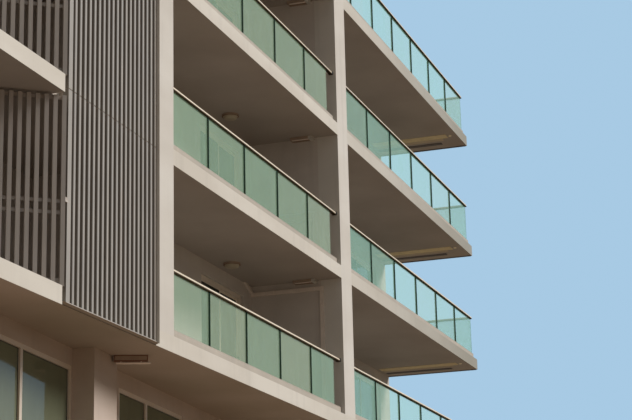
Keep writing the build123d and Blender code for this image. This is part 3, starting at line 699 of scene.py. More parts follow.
def solids_of(node: str, degrees: float = 0.0) -> list[Box]:
    """Boxes of the separate solids of a CAD node.

    Args:
        node: The node's name.
        degrees: The heading of the axes that the boxes are taken along.

    Returns:
        One box for each solid, from west to east.
    """
    mesh = bmesh.new()
    mesh.from_mesh(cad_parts[node].data)
    mesh.transform(spun(-degrees))
    bmesh.ops.remove_doubles(mesh, verts=mesh.verts, dist=SAME_POINT)
    waiting = set(mesh.verts)
    boxes = []
    while waiting:
        front = [waiting.pop()]
        found = []
        while front:
            vertex = front.pop()
            found.append(vertex.co.copy())
            near = {edge.other_vert(vertex) for edge in vertex.link_edges} & waiting
            waiting -= near
            front.extend(near)
        low = Vector([min(point[axis] for point in found) for axis in range(3)])
        high = Vector([max(point[axis] for point in found) for axis in range(3)])
        boxes.append(Box(low, high))
    mesh.free()
    return sorted(boxes, key=lambda box: tuple(box.low))


def grouped(boxes: Iterable[Box], key: Callable[[Box], Hashable]) -> dict[Hashable, list[Box]]:
    """Boxes gathered by what they have in common.

    Args:
        boxes: The boxes.
        key: Says what is looked at.

    Returns:
        The boxes of each key, in the order in which the keys come first.
    """
    groups: dict[Hashable, list[Box]] = {}
    for box in boxes:
        groups.setdefault(key(box), []).append(box)
    return groups


def placed(at: Vector, degrees: float = 0.0) -> Matrix:
    """A place reached by turning about Z and then moving."""
    return Matrix.Translation(at) @ spun(degrees)


# Modelling


class Workpiece:
    """One piece being modelled: a primitive, then edits on what is picked."""

    def __init__(self, obj: bpy.types.Object, name: str) -> None:
        """Takes over an object that was just added.

        Args:
            obj: The object.
            name: A name for it and for its mesh.
        """
        self.obj = obj
        self.obj.name = name
        self.obj.data.name = name

    @staticmethod
    def clear_bench() -> None:
        """Leaves edit mode with nothing selected."""
        if bpy.context.mode != "OBJECT":
            bpy.ops.object.mode_set(mode="OBJECT")
        bpy.ops.object.select_all(action="DESELECT")

    @classmethod
    def block(cls, name: str, low: Iterable[float], high: Iterable[float]) -> "Workpiece":
        """Starts from a cube between two corners.

        Args:
            name: The piece's name.
            low: Its lowest corner.
            high: Its highest corner.

        Returns:
            The piece.
        """
        cls.clear_bench()
        box = Box(Vector(low), Vector(high))
        bpy.ops.mesh.primitive_cube_add(size=1.0, location=box.centre)
        obj = bpy.context.active_object
        obj.scale = box.size
        bpy.ops.object.transform_apply(location=True, rotation=True, scale=True)
        return cls(obj, name)

    @classmethod
    def drum(
        cls, name: str, centre: Vector, radius: float, length: float, axis: Axis, sides: int = 24
    ) -> "Workpiece":
        """Starts from a cylinder lying along an axis.

        Args:
            name: The piece's name.
            centre: Its middle.
            radius: Its radius.
            length: Its length.
            axis: The axis that it lies along.
            sides: How many sides it has.

        Returns:
            The piece.
        """
        cls.clear_bench()
        turn = Vector((0, 0, 1)).rotation_difference(axis.unit).to_euler()
        bpy.ops.mesh.primitive_cylinder_add(
            vertices=sides, radius=radius, depth=length, location=centre, rotation=turn
        )
        bpy.ops.object.transform_apply(location=True, rotation=True, scale=True)
        return cls(bpy.context.active_object, name)

    @classmethod
    def ring(cls, name: str, centre: Vector, radius: float, tube: float) -> "Workpiece":
        """Starts from a flat ring about Z.

        Args:
            name: The piece's name.
            centre: Its middle.
            radius: The radius of the ring's middle line.
            tube: The radius of its tube.

        Returns:
            The piece.
        """
        cls.clear_bench()
        bpy.ops.mesh.primitive_torus_add(
            location=centre, major_radius=radius, minor_radius=tube,
            major_segments=32, minor_segments=8,
        )
        bpy.ops.object.transform_apply(location=True, rotation=True, scale=True)
        return cls(bpy.context.active_object, name)

    def pick(self, what: Pick, test: Callable) -> "Workpiece":
        """Selects the faces or edges that pass a test, in edit mode.

        Args:
            what: Whether faces or edges are selected.
            test: Says whether one of them is.

        Returns:
            This piece.
        """
        bpy.ops.object.mode_set(mode="EDIT")
        bpy.ops.mesh.select_mode(type=what.value)
        bpy.ops.mesh.select_all(action="DESELECT")
        mesh = bmesh.from_edit_mesh(self.obj.data)
        for item in mesh.faces if what is Pick.FACES else mesh.edges:
            item.select_set(bool(test(item)))
        mesh.select_flush_mode()
        bmesh.update_edit_mesh(self.obj.data)
        return self

    def pick_facing(self, *directions: Vector) -> "Workpiece":
        """Selects the faces that look in any of the given directions.

        Args:
            directions: Unit vectors.

        Returns:
            This piece.
        """
        return self.pick(
            Pick.FACES, lambda face: any(face.normal.dot(way) > FACING_FROM for way in directions)
        )

    def work(self, detail: Detail, *directions: Vector) -> "Workpiece":
        """Steps the faces that look in the given directions, and eases the sharp edges."""
        self.pick_facing(*directions).inset(detail.rim, detail.step)
        return self.soften(detail.edge)

    def inset(self, width: float, depth: float = 0.0) -> "Workpiece":
        """Insets each picked face and moves it along its normal."""
        bpy.ops.mesh.inset(thickness=width, depth=depth, use_individual=True)
        return self

    def push(self, offset: Iterable[float]) -> "Workpiece":
        """Extrudes what is picked."""
        bpy.ops.mesh.extrude_region_move(TRANSFORM_OT_translate={"value": tuple(offset)})
        return self

    def shift(self, offset: Iterable[float]) -> "Workpiece":
        """Moves what is picked."""
        bpy.ops.transform.translate(value=tuple(offset))
        return self

    def squeeze(self, factors: Iterable[float], about: Vector) -> "Workpiece":
        """Scales what is picked about a point."""
        bpy.ops.transform.resize(value=tuple(factors), center_override=tuple(about))
        return self

    def hollow(self) -> "Workpiece":
        """Opens the two picked faces into each other.

        Returns:
            This piece.
        """
        bpy.ops.mesh.delete(type="FACE")
        bpy.ops.mesh.select_all(action="DESELECT")
        mesh = bmesh.from_edit_mesh(self.obj.data)
        for edge in mesh.edges:
            edge.select_set(edge.is_boundary)
        mesh.select_flush_mode()
        bmesh.update_edit_mesh(self.obj.data)
        bpy.ops.mesh.bridge_edge_loops()
        bpy.ops.mesh.select_all(action="SELECT")
        bpy.ops.mesh.normals_make_consistent(inside=False)
        return self

    def soften(self, width: float, segments: int = 1) -> "Workpiece":
        """Bevels every sharp edge.

        Args:
            width: The bevel's width.
            segments: How many faces it has across.

        Returns:
            This piece.
        """
        self.pick(Pick.EDGES, lambda edge: edge.is_manifold and edge.calc_face_angle() > SHARP_FROM)
        bpy.ops.mesh.bevel(offset=width, segments=segments, affect="EDGES")
        bpy.ops.object.mode_set(mode="OBJECT")
        return self

    def join(self, *others: "Workpiece") -> "Workpiece":
        """Makes this piece and others one mesh.

        Args:
            others: The other pieces.

        Returns:
            This piece.
        """
        self.clear_bench()
        for piece in (self, *others):
            piece.obj.select_set(True)
        bpy.context.view_layer.objects.active = self.obj
        if others:
            bpy.ops.object.join()
        return self

    @staticmethod
    def merged(name: str, pieces: list["Workpiece"]) -> "Workpiece":
        """Makes several pieces one.

        Args:
            name: The name of the one piece.
            pieces: The pieces.

        Returns:
            The one piece.
        """
        whole = pieces[0].join(*pieces[1:])
        whole.obj.name = name
        return whole

    def copies(self, name: str, places: Iterable[Matrix]) -> "Workpiece":
        """Copies the piece to each place, each copy with its own mesh, as one piece.

        Args:
            name: The name of the one piece.
            places: Where the copies go.

        Returns:
            The copies as one piece; the model itself is removed.
        """
        self.clear_bench()
        made = []
        for place in places:
            twin = self.obj.copy()
            twin.data = self.obj.data.copy()
            twin.data.transform(place)
            bpy.context.scene.collection.objects.link(twin)
            made.append(Workpiece(twin, name))
        bpy.data.objects.remove(self.obj, do_unlink=True)
        return made[0].join(*made[1:])

    def done(self, finish: Finish) -> None:
        """Gives the piece its finish and fixes it to the building.

        Args:
            finish: The finish.
        """
        self.clear_bench()
        self.obj.select_set(True)
        bpy.context.view_layer.objects.active = self.obj
        bpy.ops.object.shade_smooth_by_angle(angle=SMOOTH_UP_TO)
        self.obj.data.materials.clear()
        self.obj.data.materials.append(finish.material())
        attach(self.obj, "root")
        LOG.info("%s: %d faces", self.obj.name, len(self.obj.data.polygons))


UP = Vector((0, 0, 1))
DOWN = Vector((0, 0, -1))
EAST = Vector((1, 0, 0))
WEST = Vector((-1, 0, 0))
BACK = Vector((0, 1, 0))
FRONT = Vector((0, -1, 0))


@dataclass
class Cladding:
    """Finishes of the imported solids: the first pattern that fits a node's name holds."""

    rules: tuple[tuple[str, Finish], ...] = (
        ("first_slab", LOWEST_SLAB),
        ("*_slab", SLAB),
        ("*_pillar", PILLAR),
        ("roof_parapet", PILLAR),
        ("*_kerb", KERB),
        ("*_handrail", HANDRAIL),
        ("base_window_glass", WINDOW_GLASS),
        ("rear_window_glass", WINDOW_GLASS),
        ("door_glass", DOOR_GLASS),
        ("stair_window_glass", DOOR_GLASS),
        ("*_glass", GUARD_GLASS),
        ("*_angled_slats", ANGLED_SLAT),
        ("*_slats", LOUVRE),
        ("*_rails", SCREEN_RAIL),
        ("base_window_frames", BASE_FRAME),
        ("*_frames", WINDOW_FRAME),
        ("door_leaves", WINDOW_FRAME),
        ("*_floor", CONCRETE),
        ("*_light*", HOUSING),
        ("cable_trunking", TRUNKING),
        ("base_wall_rear", OUTER_WALL),
        ("*_end_wall", OUTER_WALL),
        ("base_*", BASE_WALL),
        ("*_rear_wall", OUTER_WALL),
        ("*", BALCONY_WALL),
    )

    def build(self) -> None:
        """Puts each finish on its node's material slots."""
        for name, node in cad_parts.items():
            finish = next(finish for pattern, finish in self.rules if fnmatchcase(name, pattern))
            for slot in node.material_slots:
                slot.material = finish.material()
            LOG.info("%s: %s", name, finish.name)


@dataclass
class BalustradeTrim:
    """Glass seals, beads, handrail seals in painted shade, and the collars at the handrails' ends.
    """

    strip: float = 0.07
    widest_joint: float = 0.05
    seal_width: float = 0.044
    seal_depth: float = 0.042
    seal_detail: Detail = Detail(0.007, -0.0035, 0.002)
    rail_seal_drop: float = 0.010
    rail_seal_rise: float = 0.015
    rail_seal_side: float = 0.0015
    rail_seal_edge: float = 0.002
    glass_slot: float = 0.020
    bead_depth: float = 0.014
    bead_height: float = 0.045
    bead_sink: float = 0.002
    bead_detail: Detail = Detail(0.006, -0.002, 0.002)
    collar_thickness: float = 0.012
    collar_margin: float = 0.014
    collar_detail: Detail = Detail(0.0084, 0.0048, 0.002)

    def joints(self, panels: list[Box], along: Axis) -> list[Vector]:
        """Middles of the open joints between neighbouring panels.

        Args:
            panels: Panels that stand in one plane.
            along: The axis that the plane runs along.

        Returns:
            One point for each joint.
        """
        row = sorted(panels, key=lambda panel: panel.low[along.value])
        middles = []
        for before, after in zip(row, row[1:]):
            gap = after.low[along.value] - before.high[along.value]
            if gap < self.widest_joint:
                middle = (before.centre + after.centre) / 2
                middle[along.value] = before.high[along.value] + gap / 2
                middles.append(middle)
        return middles

    def turns(self, run: Box) -> bool:
        """Whether a kerb or handrail runs on round the open corner."""
        return run.size.y > 2 * self.strip

    def strips(
        self, node: str, depth: float, proud: float, foot: float, head: float
    ) -> list[tuple[Box, Vector]]:
        """Boxes of strips along a node's outer faces, run on round the open corner.

        Args:
            node: The kerb or handrail that the strips follow.
            depth: How far the strips reach in from its outer faces.
            proud: How far they stand out past its faces.
            foot: The strips' lowest height.
            head: The strips' highest height.

        Returns:
            Each box, with the way that its outer face looks.
        """
        boxes = []
        for run in solids_of(node):
            edge_x = run.high.x + proud
            back = run.low.y + depth + proud
            low = Vector((run.low.x, run.low.y - proud, foot))
            boxes.append((Box(low, Vector((edge_x, back, head))), FRONT))
            if self.turns(run):
                low = Vector((run.high.x - depth - proud, back, foot))
                boxes.append((Box(low, Vector((edge_x, run.high.y, head))), EAST))
        return boxes

    def build_glass_seals(self, level: Level) -> None:
        """Upright seals of one level, between the kerb and the handrail.

        Args:
            level: The level.
        """
        foot = box_of(f"{level}_kerb").high.z
        head = box_of(f"{level}_handrail").low.z
        half = Vector((self.seal_width / 2, self.seal_depth / 2, (head - foot) / 2))
        seal = Workpiece.block("seal", -half, half)
        seal.work(self.seal_detail, FRONT, BACK)
        panels = solids_of(f"{level}_glass")
        places = []
        for thin, along, degrees in ((Axis.Y, Axis.X, 0.0), (Axis.X, Axis.Y, 90.0)):
            row = [panel for panel in panels if panel.thin_axis() is thin]
            for at in self.joints(row, along):
                places.append(placed(Vector((at.x, at.y, (foot + head) / 2)), degrees))
        seal.copies(f"{level}_glass_seals", places).done(SEAL)

    def build_rail_shade_seals(self, level: Level) -> None:
        """Seals cupped under the handrails of one level, with a slot for the glass, in painted
        shade.

        Args:
            level: The level.
        """
        rail = f"{level}_handrail"
        under = box_of(rail).low.z
        foot, head = under - self.rail_seal_drop, under + self.rail_seal_rise
        seals = []
        for box, _ in self.strips(rail, self.strip, self.rail_seal_side, foot, head):
            seal = Workpiece.block("painted_shade_rubber", box.low, box.high)
            width = min(box.size.x, box.size.y)
            seal.pick_facing(DOWN).inset((width - self.glass_slot) / 2)
            seals.append(seal.push((0, 0, self.rail_seal_drop)).soften(self.rail_seal_edge))
        # Their dark colour is painted shade under the rails.
        Workpiece.merged(f"{level}_rail_shade_seals", seals).done(SHADE_RUBBER)

    def build_kerb_beads(self, level: Level) -> None:
        """Beads on the kerbs of one level, in front of the glass, their faces a little sunk.

        Args:
            level: The level.
        """
        kerb = f"{level}_kerb"
        top = box_of(kerb).high.z
        foot, head = top - self.bead_sink, top + self.bead_height
        beads = []
        for box, face in self.strips(kerb, self.bead_depth, 0.0, foot, head):
            bead = Workpiece.block("bead", box.low, box.high)
            beads.append(bead.work(self.bead_detail, face))
        Workpiece.merged(f"{level}_kerb_beads", beads).done(KERB)

    def collar(self, height: float) -> Workpiece:
        """A collar round the end of a rail, lying in the plane across X.

        Args:
            height: The rail's height.

        Returns:
            The collar, about the origin.
        """
        half = Vector((
            self.collar_thickness / 2,
            self.strip / 2 + self.collar_margin,
            height / 2 + self.collar_margin,
        ))
        return Workpiece.block("collar", -half, half).work(self.collar_detail, EAST, WEST)

    def build_collars(self, level: Level) -> None:
        """Collars where the handrails of one level meet pillars and walls.

        Args:
            level: The level.
        """
        rails = solids_of(f"{level}_handrail")
        inward = self.collar_thickness / 2
        half = self.strip / 2
        places = []
        for rail in rails:
            front = rail.low.y + half
            places.append(placed(Vector((rail.low.x + inward, front, rail.centre.z))))
            if self.turns(rail):
                end = Vector((rail.high.x - half, rail.high.y - inward, rail.centre.z))
                places.append(placed(end, 90.0))
            else:
                places.append(placed(Vector((rail.high.x - inward, front, rail.centre.z))))
        self.collar(rails[0].size.z).copies(f"{level}_handrail_collars", places).done(BRACKET)

    def build(self) -> None:
        """All the trim of the balustrades."""
        for level in Level:
            self.build_glass_seals(level)
            self.build_rail_shade_seals(level)
            self.build_kerb_beads(level)
            self.build_collars(level)


@dataclass
class ScreenTrim:
    """Splice sleeves, top caps, painted foot shadows, cleats and bolts of the louvre screens."""

    sleeve_margin: float = 0.007
    sleeve_rim: float = 0.2
    sleeve_sink: float = 0.002
    sleeve_edge: float = 0.001
    cap_height: float = 0.006
    cap_detail: Detail = Detail(0.008, 0.003, 0.0015)
    bolt_radius: float = 0.016
    bolt_height: float = 0.012
    bolt_sides: int = 6
    bolt_detail: Detail = Detail(0.003, 0.002, 0.001)
    bolts_every: int = 3
    bolted_rail: float = 0.1
    # The painted shadow under each screen's foot; its slant follows the shadow's sunlit edge.
    shadow_proud: float = 0.005
    shadow_slant: float = 0.133
    shadow_height: float = 0.054
    shadow_sink: float = 0.002
    shadow_lap: float = 0.08
    shadow_edge: float = 0.001
    pillar_gap: float = 0.03
    # Height of the darker band of painted shadow along the foot.
    dark_band_height: float = 0.012
    cleat_above_floor: float = 1.29
    cleat_size: Size = (0.14, 0.04, 0.07)
    cleat_behind: float = 0.02
    cleat_detail: Detail = Detail(0.012, -0.004, 0.002)

    def stacks(self, side: Side) -> list[list[Box]]:
        """Slats of one screen, gathered by place and ordered upwards.

        Args:
            side: The screen's side.

        Returns:
            The lengths of each slat, from west to east.
        """
        slats = solids_of(f"{side}_louvre_slats")
        stacks = grouped(slats, lambda slat: round(slat.centre.x * MILLIMETRES))
        ordered = [sorted(stack, key=lambda slat: slat.low.z) for stack in stacks.values()]
        return sorted(ordered, key=lambda stack: stack[0].centre.x)

    def splices(self, side: Side) -> list[Box]:
        """The gaps between the lengths of each slat of one screen.

        Args:
            side: The screen's side.

        Returns:
            A box for each gap, as wide and deep as its slat.
        """
        gaps = []
        for stack in self.stacks(side):
            for lower, upper in zip(stack, stack[1:]):
                low = Vector((lower.low.x, lower.low.y, lower.high.z))
                gaps.append(Box(low, Vector((lower.high.x, lower.high.y, upper.low.z))))
        return gaps

    def build_sleeves(self, side: Side) -> None:
        """Sleeves that show in the splices of one screen's slats.

        Args:
            side: The screen's side.
        """
        made = []
        widths = grouped(self.splices(side), lambda splice: round(splice.size.x * MILLIMETRES))
        for group in widths.values():
            gap = group[0].size
            half = gap / 2 - Vector((self.sleeve_margin, self.sleeve_margin, 0))
            sleeve = Workpiece.block("sleeve", -half, half)
            detail = Detail(gap.z * self.sleeve_rim, -self.sleeve_sink, self.sleeve_edge)
            sleeve.work(detail, FRONT, BACK, EAST, WEST)
            made.append(sleeve.copies("sleeves", [placed(splice.centre) for splice in group]))
        Workpiece.merged(f"{side}_splice_sleeves", made).done(SCREEN_RAIL)

    def build_caps(self, side: Side) -> None:
        """Caps on the tops of one screen's slats.

        Args:
            side: The screen's side.
        """
        made = []
        highest = [stack[-1] for stack in self.stacks(side)]
        widths = grouped(highest, lambda slat: round(slat.size.x * MILLIMETRES))
        for group in widths.values():
            half = group[0].size / 2
            cap = Workpiece.block("cap", (-half.x, -half.y, 0), (half.x, half.y, self.cap_height))
            cap.work(self.cap_detail, UP)
            tops = [placed(Vector((slat.centre.x, slat.centre.y, slat.high.z))) for slat in group]
            made.append(cap.copies("caps", tops))
        Workpiece.merged(f"{side}_slat_caps", made).done(LOUVRE)

    def shadow_strip(self, low: Vector, high: Vector, slant_at: float, slant: float) -> Workpiece:
        """A strip of painted shadow, one end cut back at its foot along the shadow's edge.

        Args:
            low: The strip's lowest corner.
            high: The strip's highest corner.
            slant_at: Where along X the cut end stands.
            slant: How far along X its foot is moved.

        Returns:
            The strip.
        """
        strip = Workpiece.block("shadow_strip", low, high)
        middle = (low.z + high.z) / 2
        strip.pick(Pick.EDGES, lambda edge: all(
            abs(vert.co.x - slant_at) < 0.001 and vert.co.z < middle for vert in edge.verts
        )).shift((slant, 0, 0))
        return strip.soften(self.shadow_edge)

    def build_painted_shadows(self) -> None:
        """Painted shadows of the two screens' feet on the fascia, each with a darker band along its
        foot.
        """
        slab = box_of("first_slab")
        front, foot = slab.low.y, slab.low.z
        east_edge = box_of("east_angled_slats").high.x
        west_edge = box_of("west_angled_slats").low.x
        inner = east_edge - self.shadow_lap
        outer = box_of("left_pillar").low.x - self.pillar_gap
        mirror = east_edge + west_edge
        proud = self.shadow_proud
        shadow_strips = []
        dark_bands = []
        for near, far, slant in (
            (inner, outer, -self.shadow_slant),
            (mirror - inner, mirror - outer, self.shadow_slant),
        ):
            start, stop = sorted((near, far))
            low = Vector((start, front - proud, foot))
            high = Vector((stop, front + self.shadow_sink, foot + self.shadow_height))
            shadow_strips.append(self.shadow_strip(low, high, far, slant))
            start, stop = sorted((near, far + slant))
            low = Vector((start, front - 2 * proud, foot - self.shadow_sink))
            high = Vector((stop, front, foot + self.dark_band_height))
            dark_bands.append(Workpiece.block("dark_band", low, high).soften(self.shadow_edge))
        # Both are painted shadow: the screens' cast shadows on the fascia.
        Workpiece.merged("sill_painted_shadows", shadow_strips).done(SCREEN_SHADOW)
        Workpiece.merged("sill_painted_shadow_bands", dark_bands).done(SHADE_RUBBER)

    def build_cleats(self) -> None:
        """Cleats that hold the angled screens' last slat to the louvre frame."""
        length, depth, height = self.cleat_size
        cleat = Workpiece.block("cleat", (0, 0, -height / 2), (length, depth, height / 2))
        cleat.work(self.cleat_detail, FRONT)
        rails = box_of("angled_rails")
        front = rails.low.y + self.cleat_behind
        places = []
        for level in STOREYS:
            z = box_of(f"{level}_slab").high.z + self.cleat_above_floor
            for x in (rails.high.x, rails.low.x - length):
                places.append(placed(Vector((x, front, z))))
        cleat.copies("screen_cleats", places).done(SCREEN_RAIL)

    def build_bolts(self) -> None:
        """Hexagon bolts through the rails, in the gaps between slats."""
        centre = Vector((0, -self.bolt_height / 2, 0))
        bolt = Workpiece.drum(
            "bolt", centre, self.bolt_radius, self.bolt_height, Axis.Y, self.bolt_sides
        )
        bolt.work(self.bolt_detail, FRONT)
        rails = [rail for rail in solids_of("louvre_rails") if rail.size.z >= self.bolted_rail]
        places = []
        for side in Side:
            slats = [stack[0] for stack in self.stacks(side)]
            gaps = [(before.high.x + after.low.x) / 2 for before, after in zip(slats, slats[1:])]
            for rail in rails:
                if slats[0].low.x < rail.centre.x < slats[-1].high.x:
                    for x in gaps[1::self.bolts_every]:
                        places.append(placed(Vector((x, rail.low.y, rail.centre.z))))
        bolt.copies("screen_bolts", places).done(BRACKET)

    def build(self) -> None:
        """All the trim of the louvre screens."""
        for side in Side:
            self.build_sleeves(side)
            self.build_caps(side)
        self.build_painted_shadows()
        self.build_cleats()
        self.build_bolts()


@dataclass
class WindowTrim:
    """Gaskets round the panes, sills, door pulls and the entrance's bars and threshold."""

    gasket_width: float = 0.010
    gasket_proud: float = 0.006
    sill_thickness: float = 0.035
    sill_reach: float = 0.045
    sill_fall: float = 0.012
    sill_detail: Detail = Detail(0.004, -0.003, 0.003)
    lowest_sill: float = 0.5
    stile: float = 0.055
    pull_height: float = 1.0
    pull_size: Size = (0.018, 0.03, 0.26)
    pull_round: float = 0.6
    feet_at: float = 0.4
    foot_width: float = 0.7
    foot_round: float = 0.3
    bar_height: float = 1.1
    bar_size: Size = (0.032, 0.05, 0.9)
    bar_from_middle: float = 0.11
    threshold: float = 0.02
    threshold_detail: Detail = Detail(0.03, -0.004, 0.004)

    def build_gaskets(self, node: str) -> None:
        """Gaskets of all the panes of a node, modelled once for each size.

        Args:
            node: The node of the panes.
        """
        heading = heading_of(node)
        sizes = grouped(
            solids_of(node, heading),
            lambda pane: (pane.thin_axis(), *(round(extent, 3) for extent in pane.size)),
        )
        made = []
        for (thin, *_), panes in sizes.items():
            size = panes[0].size
            if thin is Axis.X:
                size.x, size.y = size.y, size.x
            half = size / 2 + Vector((0, self.gasket_proud, 0))
            ring = Workpiece.block("gasket", -half, half)
            ring.pick_facing(FRONT, BACK).inset(self.gasket_width)
            ring.hollow()
            degrees = 90.0 if thin is Axis.X else 0.0
            places = [spun(heading) @ placed(pane.centre, degrees) for pane in panes]
            made.append(ring.copies("gaskets", places))
        Workpiece.merged(node.replace("_glass", "_gaskets"), made).done(GASKET)

    def sill(self, width: float, depth: float) -> Workpiece:
        """A sill about the origin: its back edge on Y = 0, falling to the front.

        Args:
            width: Its length along X.
            depth: How far it reaches to the front.

        Returns:
            The sill.
        """
        low = (-width / 2, -depth, 0)
        sill = Workpiece.block("sill", low, (width / 2, 0, self.sill_thickness))
        sill.pick(Pick.EDGES, lambda edge: all(
            vert.co.y < -depth / 2 and vert.co.z > self.sill_thickness / 2 for vert in edge.verts
        )).shift((0, 0, -self.sill_fall))
        return sill.work(self.sill_detail, FRONT)

    def build_sills(self, outlook: Outlook, faces: dict[Axis, float]) -> None:
        """Sills of the windows that look one way.

        Args:
            outlook: The way in which they look.
            faces: The outer wall face for frames that are thin along an axis.
        """
        heading = heading_of(f"{outlook}_window_frames")
        turns = {
            (Axis.Y, Outlook.STREET): 0.0,
            (Axis.Y, Outlook.YARD): 180.0,
            (Axis.X, Outlook.YARD): 90.0,
        }
        windows = [
            window for window in solids_of(f"{outlook}_window_frames", heading)
            if window.thin_axis() in faces and window.low.z > self.lowest_sill
        ]
        widths = grouped(
            windows, lambda window: (window.thin_axis(), round(max(window.size.xy), 3))
        )
        made = []
        for (thin, width), alike in widths.items():
            places = []
            for window in alike:
                at = window.centre
                at.z = window.low.z
                at[thin.value] += outlook.sign * window.size[thin.value] / 2
                places.append(spun(heading) @ placed(at, turns[thin, outlook]))
            near = alike[0].centre[thin.value] + outlook.sign * alike[0].size[thin.value] / 2
            sill = self.sill(width, abs(faces[thin] - near) + self.sill_reach)
            made.append(sill.copies("sills", places))
        Workpiece.merged(f"{outlook}_window_sills", made).done(WINDOW_FRAME)

    def pull(self, size: Size) -> Workpiece:
        """A pull: a bar that stands off its door on two feet.

        Args:
            size: Its thickness, how far it stands off, and its length.

        Returns:
            The pull, its feet ending on Y = 0.
        """
        thickness, stand_off, length = size
        half = thickness / 2
        low = (-half, -stand_off - thickness, -length / 2)
        bar = Workpiece.block("pull", low, (half, -stand_off, length / 2))
        bar.soften(half * self.pull_round, 2)
        reach = half * self.foot_width
        feet = []
        for z in (-length * self.feet_at, length * self.feet_at):
            low = (-reach, -stand_off - half, z - half)
            foot = Workpiece.block("foot", low, (reach, 0, z + half))
            feet.append(foot.soften(half * self.foot_round))
        return bar.join(*feet)

    def build_pulls(self) -> None:
        """Pulls on the jamb stiles of the sliding doors."""
        leaves = solids_of("door_leaves")
        places = []
        for leaf in leaves:
            partner = next(
                other for other in leaves
                if other is not leaf
                and abs(other.centre.x - leaf.centre.x) < leaf.size.x
                and abs(other.centre.z - leaf.centre.z) < leaf.size.z
            )
            to_partner = partner.centre.x - leaf.centre.x
            jamb = leaf.low.x if to_partner > 0 else leaf.high.x
            x = jamb + math.copysign(self.stile / 2, to_partner)
            places.append(placed(Vector((x, leaf.low.y, leaf.low.z + self.pull_height))))
        self.pull(self.pull_size).copies("door_pulls", places).done(BRACKET)

    def build_entrance(self) -> None:
        """Two tall bars and a threshold at the entrance."""
        heading = heading_of("base_wall_recess")
        frames = solids_of("base_window_frames", heading)
        door = min(frames, key=lambda window: window.low.z)
        height = door.low.z + self.bar_height
        places = []
        for step in (-self.bar_from_middle, self.bar_from_middle):
            at = Vector((door.centre.x + step, door.low.y, height))
            places.append(spun(heading) @ placed(at))
        self.pull(self.bar_size).copies("entrance_bars", places).done(BRACKET)
        face = solids_of("base_wall_recess", heading)[0].low.y
        low = (door.low.x, face - self.threshold, door.low.z)
        high = (door.high.x, door.low.y, door.low.z + self.threshold)
        threshold = Workpiece.block("threshold", low, high)
        threshold.work(self.threshold_detail, UP)
        threshold.copies("entrance_threshold", [spun(heading)]).done(SCREEN_RAIL)

    def build(self) -> None:
        """All the trim of windows and doors."""
        for node in ("base_window_glass", "rear_window_glass", "stair_window_glass", "door_glass"):
            self.build_gaskets(node)
        base_front = solids_of("base_wall_left", heading_of("base_wall_left"))[0].low.y
        self.build_sills(Outlook.STREET, {Axis.Y: base_front})
        rear = box_of("base_wall_rear").high.y
        east_end = box_of("east_end_wall").high.x
        self.build_sills(Outlook.YARD, {Axis.Y: rear, Axis.X: east_end})
        self.build_pulls()
        self.build_entrance()


